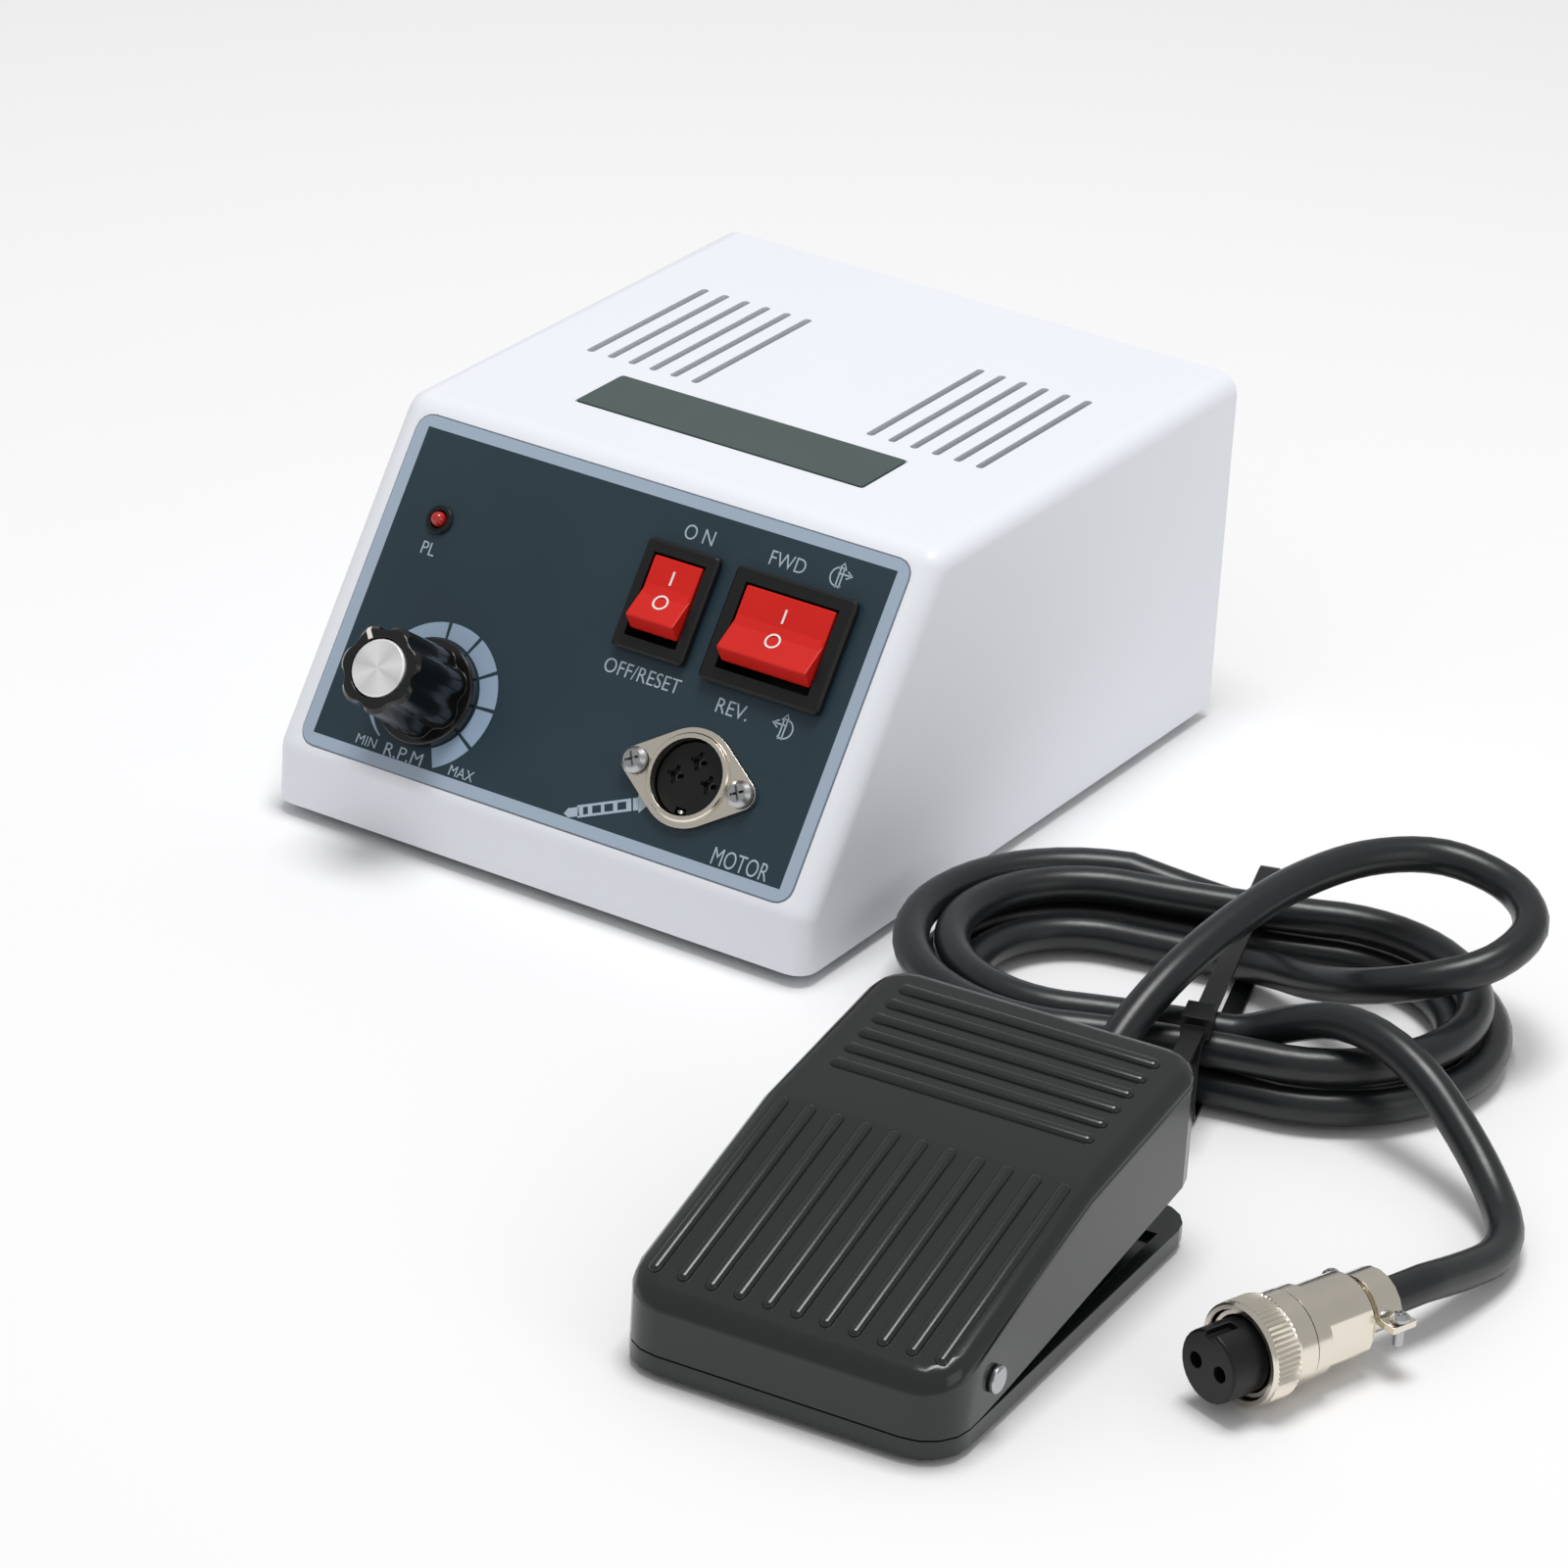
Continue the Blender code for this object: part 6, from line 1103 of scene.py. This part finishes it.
def taller_grip(mesh):
    """Draws out what stands above the knob's skirt to the height of the real grip."""
    raised = [vert for vert in mesh.verts if vert.co.z > KNOB_GRIP_FROM]
    bmesh.ops.translate(mesh, vec=(0, 0, KNOB_STRETCH), verts=raised)


def knob_pointer():
    """White line from the knob's crown over its chamfer and down the grip."""
    run = [
        (POINTER_START, KNOB_TOP + POINTER_LIFT),
        (KNOB_CROWN, KNOB_TOP + POINTER_LIFT),
        (KNOB_CROWN + KNOB_CHAMFER, KNOB_TOP - KNOB_CHAMFER + POINTER_LIFT),
        (POINTER_END, KNOB_TOP - POINTER_DROP),
    ]
    out = Vector((math.cos(POINTER_ANGLE), math.sin(POINTER_ANGLE), 0))
    mesh = bmesh.new()
    points = [out * radius + Vector((0, 0, height)) for radius, height in run]
    ribbon(mesh, points, POINTER_WIDTH, across=(-out.y, out.x, 0))
    bmesh.ops.solidify(mesh, geom=list(mesh.faces), thickness=POINTER_THICKNESS)
    moved(facing_out(mesh), on_slope(KNOB_X, KNOB_S, 0))
    placed("knob_pointer", mesh, "screen_ink_white", "knob")


class KnobOperator(bpy.types.Operator):
    """Finish the speed knob with its cap, pointer and shaft, and the potentiometer"""
    bl_idname = "nail_drill.knob"
    bl_label = "Speed knob"

    def execute(self, context):
        dressed("speed_knob", "phenolic_black", KNOB_EDGE, "knob", taller_grip, SLOPE)
        dressed("knob_cap", "spun_aluminium", CAP_EDGE, "knob", taller_grip, SLOPE)
        painted("turned_aluminium", "potentiometer_shaft", "speed_potentiometer")
        painted("zinc_plated_steel", "potentiometer_nut")
        knob_pointer()
        return {"FINISHED"}


class LampOperator(bpy.types.Operator):
    """Finish the pilot lamp and its holder"""
    bl_idname = "nail_drill.lamp"
    bl_label = "Pilot lamp"

    def execute(self, context):
        dressed("lamp_holder", "moulded_abs_black", LAMP_HOLDER_EDGE)
        dressed("pilot_lamp", "lamp_lens_red")
        return {"FINISHED"}


def hollowed(mesh):
    """Rounds the crease between a rocker's two faces into a valley."""
    crease = [edge for edge in mesh.edges if all(
        abs(vert.co.y) < CREASE_WIDTH and vert.co.z > ROCKER_FACE for vert in edge.verts)]
    bmesh.ops.bevel(mesh, geom=crease, offset=VALLEY_REACH, offset_type="OFFSET",
                    segments=VALLEY_SEGMENTS, profile=0.5, affect="EDGES", material=-1)


def rocker_rise(along):
    """Height of a rocker's face above its pivot, at a distance from the valley."""
    valley = ROCKER_FACE / math.cos(ROCKER_TILT)
    if abs(along) >= VALLEY_REACH * math.cos(ROCKER_TILT):
        return valley + abs(along) * math.tan(ROCKER_TILT)
    radius = VALLEY_REACH / math.tan(ROCKER_TILT)
    return valley + VALLEY_REACH / math.sin(ROCKER_TILT) - math.sqrt(radius**2 - along**2)


class RockerOperator(bpy.types.Operator):
    """Finish the two rocker switches and print the marks on their rockers"""
    bl_idname = "nail_drill.rockers"
    bl_label = "Rocker switches"

    def execute(self, context):
        edge = context.scene.nail_drill.edge
        width, length, middle = MARK_BAR
        steps = [i / MARK_BAR_STEPS - 1 / 2 for i in range(MARK_BAR_STEPS + 1)]
        strokes = {
            "on_mark": ([(0, middle + length * step) for step in steps], width),
            "off_mark": (arc_points(*MARK_RING), MARK_RING_STROKE),
        }
        for name, (x, s) in ROCKERS.items():
            button = f"{name}_button"
            dressed(f"{name}_switch_body", "moulded_abs_black", edge / 2)
            rest = on_slope(x, s, ROCKER_PIVOT_Z) @ Matrix.Rotation(-ROCKER_TILT, 4, "X")
            dressed(f"{name}_rocker", "polycarbonate_red", edge, button, hollowed, rest)
            for mark, (points, stroke) in strokes.items():
                mesh = bmesh.new()
                ribbon(mesh, flat(points), stroke * MM)
                thickened(mesh)
                for vert in mesh.verts:
                    vert.co.z += rocker_rise(vert.co.y) + MARK_LIFT
                placed(f"{name}_{mark}", moved(mesh, rest), "screen_ink_white", button)
        return {"FINISHED"}


def contact_place(angle, height=0.0):
    """Frame of a contact of the handpiece socket, at an angle in degrees round its middle."""
    x = SOCKET_X + CONTACT_CIRCLE * math.cos(math.radians(angle))
    s = SOCKET_S + CONTACT_CIRCLE * math.sin(math.radians(angle))
    return on_slope(x, s, height)


def contact_sleeve():
    """Contact of the handpiece socket: a short tube, spun from its wall's section."""
    mesh = bmesh.new()
    inside, outside = CONTACT_BORE, CONTACT_OUTER
    low, high = SOCKET_INSERT_TOP - CONTACT_DEPTH, SOCKET_INSERT_TOP - CONTACT_SUNK
    corners = [(inside, low), (outside, low), (outside, high), (inside, high)]
    verts = [mesh.verts.new((radius, 0, height)) for radius, height in corners]
    edges = [mesh.edges.new(pair) for pair in zip(verts, verts[1:] + verts[:1])]
    bmesh.ops.spin(mesh, geom=verts + edges, cent=(0, 0, 0), axis=(0, 0, 1), dvec=(0, 0, 0),
                   angle=2 * math.pi, steps=CONTACT_STEPS, use_merge=True)
    bmesh.ops.remove_doubles(mesh, verts=mesh.verts, dist=JOIN)
    return facing_out(mesh)


def key_spring():
    """Rounded end of the key's spring, at the socket's lower edge."""
    width, length, height = KEY_SPRING
    mesh = bmesh.new()
    across, up = KEY_SPRING_SEGMENTS
    bmesh.ops.create_uvsphere(mesh, u_segments=across, v_segments=up, radius=width / 2)
    bmesh.ops.scale(mesh, vec=(1, length / width, height / width), verts=mesh.verts)
    place = on_slope(SOCKET_X, SOCKET_S - KEY_SPRING_AT, SOCKET_INSERT_TOP - height / 4)
    placed("socket_key_spring", moved(mesh, place), "zinc_plated_steel")


class MotorSocketOperator(bpy.types.Operator):
    """Finish the handpiece socket: flange, insert, contacts and screws"""
    bl_idname = "nail_drill.motor_socket"
    bl_label = "Handpiece socket"

    def execute(self, context):
        dressed("motor_socket_flange", "nickel_plated_brass", context.scene.nail_drill.edge)
        openings = [contact_place(angle, SOCKET_INSERT_TOP) for angle in CONTACT_ANGLES]
        crossed("motor_socket_insert", "moulded_abs_black", openings, CONTACT_CROSS)
        for number, side in ((1, -1), (2, 1)):
            at = on_slope(SOCKET_X + side * SOCKET_SCREW_PITCH / 2, SOCKET_S, SCREW_HEAD_TOP)
            crossed(f"socket_screw_{number}", "zinc_plated_steel", [at], SCREW_CROSS, SCREW_TURN)
        for number, angle in enumerate(CONTACT_ANGLES, 1):
            sleeve = moved(contact_sleeve(), contact_place(angle))
            placed(f"socket_contact_{number}", sleeve, "zinc_plated_steel")
        key_spring()
        return {"FINISHED"}


class RearOperator(bpy.types.Operator):
    """Finish the mains inlet, the fuse and the pedal socket on the rear panel"""
    bl_idname = "nail_drill.rear"
    bl_label = "Rear connectors"

    def execute(self, context):
        edge = context.scene.nail_drill.edge
        dressed("mains_inlet", "moulded_abs_black", edge)
        dressed("fuse_holder", "moulded_abs_black", edge)
        dressed("fuse_cap", "moulded_abs_black", body="fuse_top")
        dressed("pedal_socket", "nickel_plated_brass", edge / 2)
        painted("nickel_plated_brass", "pedal_socket_nut")
        return {"FINISHED"}


class InsideOperator(bpy.types.Operator):
    """Finish what the case holds: transformer, board, heat sink and their parts"""
    bl_idname = "nail_drill.inside"
    bl_label = "Inside the case"

    def execute(self, context):
        for node, look in INSIDE.items():
            painted(look, node)
        return {"FINISHED"}


# Pedal

def cover_top(y):
    """Height and slope of the pedal's top at a distance from its front."""
    toe = (COVER_BREAK_HEIGHT - COVER_FRONT_HEIGHT) / COVER_BREAK_Y
    heel = (COVER_REAR_HEIGHT - COVER_BREAK_HEIGHT) / (PEDAL_LENGTH - COVER_BREAK_Y)
    if y < COVER_BREAK_Y:
        return COVER_FRONT_HEIGHT + toe * y, math.atan(toe)
    return COVER_BREAK_HEIGHT + heel * (y - COVER_BREAK_Y), math.atan(heel)


def on_cover(y):
    """Frame of something in the middle of the pedal's top, at a distance from its front."""
    height, slope = cover_top(y)
    return Matrix.Translation((PEDAL_WIDTH / 2, y, height)) @ Matrix.Rotation(slope, 4, "X")


def lowered_ribs(mesh):
    """Sinks the crests of the moulded ribs, over which rounded ribs are laid."""
    for vert in mesh.verts:
        height, slope = cover_top(vert.co.y)
        proud = (vert.co.z - height) * math.cos(slope)
        if proud > RIB_HEIGHT / 2:
            vert.co -= Vector((0, -math.sin(slope), math.cos(slope))) * proud


def rounded_rib(mesh, place, length, width):
    """Rounded rib: stadium rings, from the sunk foot to the crest, bridged and capped."""
    run = (length - width) / 2
    levels = [(width / 2, -RIB_SUNK)]
    for i in range(RIB_STEPS + 1):
        angle = RIB_ROUND * i / RIB_STEPS
        levels.append((width / 2 * math.cos(angle), RIB_HEIGHT * math.sin(angle)))
    rings = []
    for radius, height in levels:
        ring = bmesh.ops.create_circle(mesh, cap_ends=False, segments=RIB_SEGMENTS,
                                       radius=radius)["verts"]
        bmesh.ops.rotate(mesh, cent=(0, 0, 0), verts=ring,
                         matrix=Matrix.Rotation(math.pi / RIB_SEGMENTS, 3, "Z"))
        for side in (-1, 1):
            end = [vert for vert in ring if vert.co.x * side > 0]
            bmesh.ops.translate(mesh, vec=(side * run, 0, height), verts=end)
        rings.append(ring)
    edges = bridged(mesh, rings)
    for rim in (edges[0], edges[-1]):
        bmesh.ops.contextual_create(mesh, geom=rim)
    bmesh.ops.transform(mesh, matrix=place, verts=[vert for ring in rings for vert in ring])


def pedal_ribs():
    """Long ribs up the toe and cross ribs on the heel, in one piece with the cover's motion."""
    mesh = bmesh.new()
    count, pitch, start, end, width = TOE_RIBS
    slope = cover_top(start)[1]
    upright = Matrix.Rotation(math.pi / 2, 4, "Z")
    for i in range(count):
        aside = Matrix.Translation(((i - (count - 1) / 2) * pitch, 0, 0))
        place = aside @ on_cover((start + end) / 2) @ upright
        rounded_rib(mesh, place, (end - start) / math.cos(slope), width)
    count, pitch, last, length, width = HEEL_RIBS
    for i in range(count):
        rounded_rib(mesh, on_cover(last - i * pitch), length, width)
    moved(facing_out(mesh), PEDAL)
    placed("pedal_ribs", mesh, "moulded_polypropylene_black", "treadle", RIB_SHARP_ANGLE)


class PedalOperator(bpy.types.Operator):
    """Finish the foot pedal: cover, base, mat, hinge pin, gland, switch and spring"""
    bl_idname = "nail_drill.pedal"
    bl_label = "Foot pedal"

    def execute(self, context):
        edge = context.scene.nail_drill.edge
        dressed("pedal_cover", "moulded_polypropylene_black", 0.0, "treadle", lowered_ribs, PEDAL)
        pedal_ribs()
        dressed("pedal_base", "moulded_polypropylene_black", edge)
        dressed("pedal_mat", "moulded_rubber", edge / 2)
        dressed("hinge_pin", "zinc_plated_steel", edge / 2)
        dressed("cord_gland", "moulded_rubber", edge / 2)
        coil = dressed("return_spring", "zinc_plated_steel")
        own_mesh(coil)
        painted("zinc_plated_steel", "foot_switch_lever")
        painted("moulded_abs_black", "foot_switch_body")
        return {"FINISHED"}


class NailDrillPanel(bpy.types.Panel):
    """Shows the settings of the nail drill set and a button for each of its steps"""
    bl_idname = "NAIL_DRILL_PT_pieces"
    bl_label = "Nail Drill"
    bl_space_type = "VIEW_3D"
    bl_region_type = "UI"
    bl_category = "Nail Drill"

    def draw(self, context):
        settings = context.scene.nail_drill
        for name in settings.bl_rna.properties.keys():
            if name not in {"rna_type", "name"}:
                self.layout.prop(settings, name)
        for operator in OPERATORS:
            self.layout.operator(operator.bl_idname)


OPERATORS = [
    StageOperator, PlugOperator, CordOperator, CaseOperator, LabelOperator, KnobOperator,
    LampOperator, RockerOperator, MotorSocketOperator, RearOperator, InsideOperator, PedalOperator,
]


def register():
    for item in [NailDrillSettings, *OPERATORS, NailDrillPanel]:
        bpy.utils.register_class(item)
    bpy.types.Scene.nail_drill = PointerProperty(type=NailDrillSettings)


def unregister():
    del bpy.types.Scene.nail_drill
    for item in reversed([NailDrillSettings, *OPERATORS, NailDrillPanel]):
        bpy.utils.unregister_class(item)


def main():
    register()
    bpy.ops.nail_drill.stage()
    bpy.ops.nail_drill.plug()
    bpy.ops.nail_drill.cord()
    bpy.ops.nail_drill.case()
    bpy.ops.nail_drill.label()
    bpy.ops.nail_drill.knob()
    bpy.ops.nail_drill.lamp()
    bpy.ops.nail_drill.rockers()
    bpy.ops.nail_drill.motor_socket()
    bpy.ops.nail_drill.rear()
    bpy.ops.nail_drill.inside()
    bpy.ops.nail_drill.pedal()


if __name__ == "__main__":
    main()
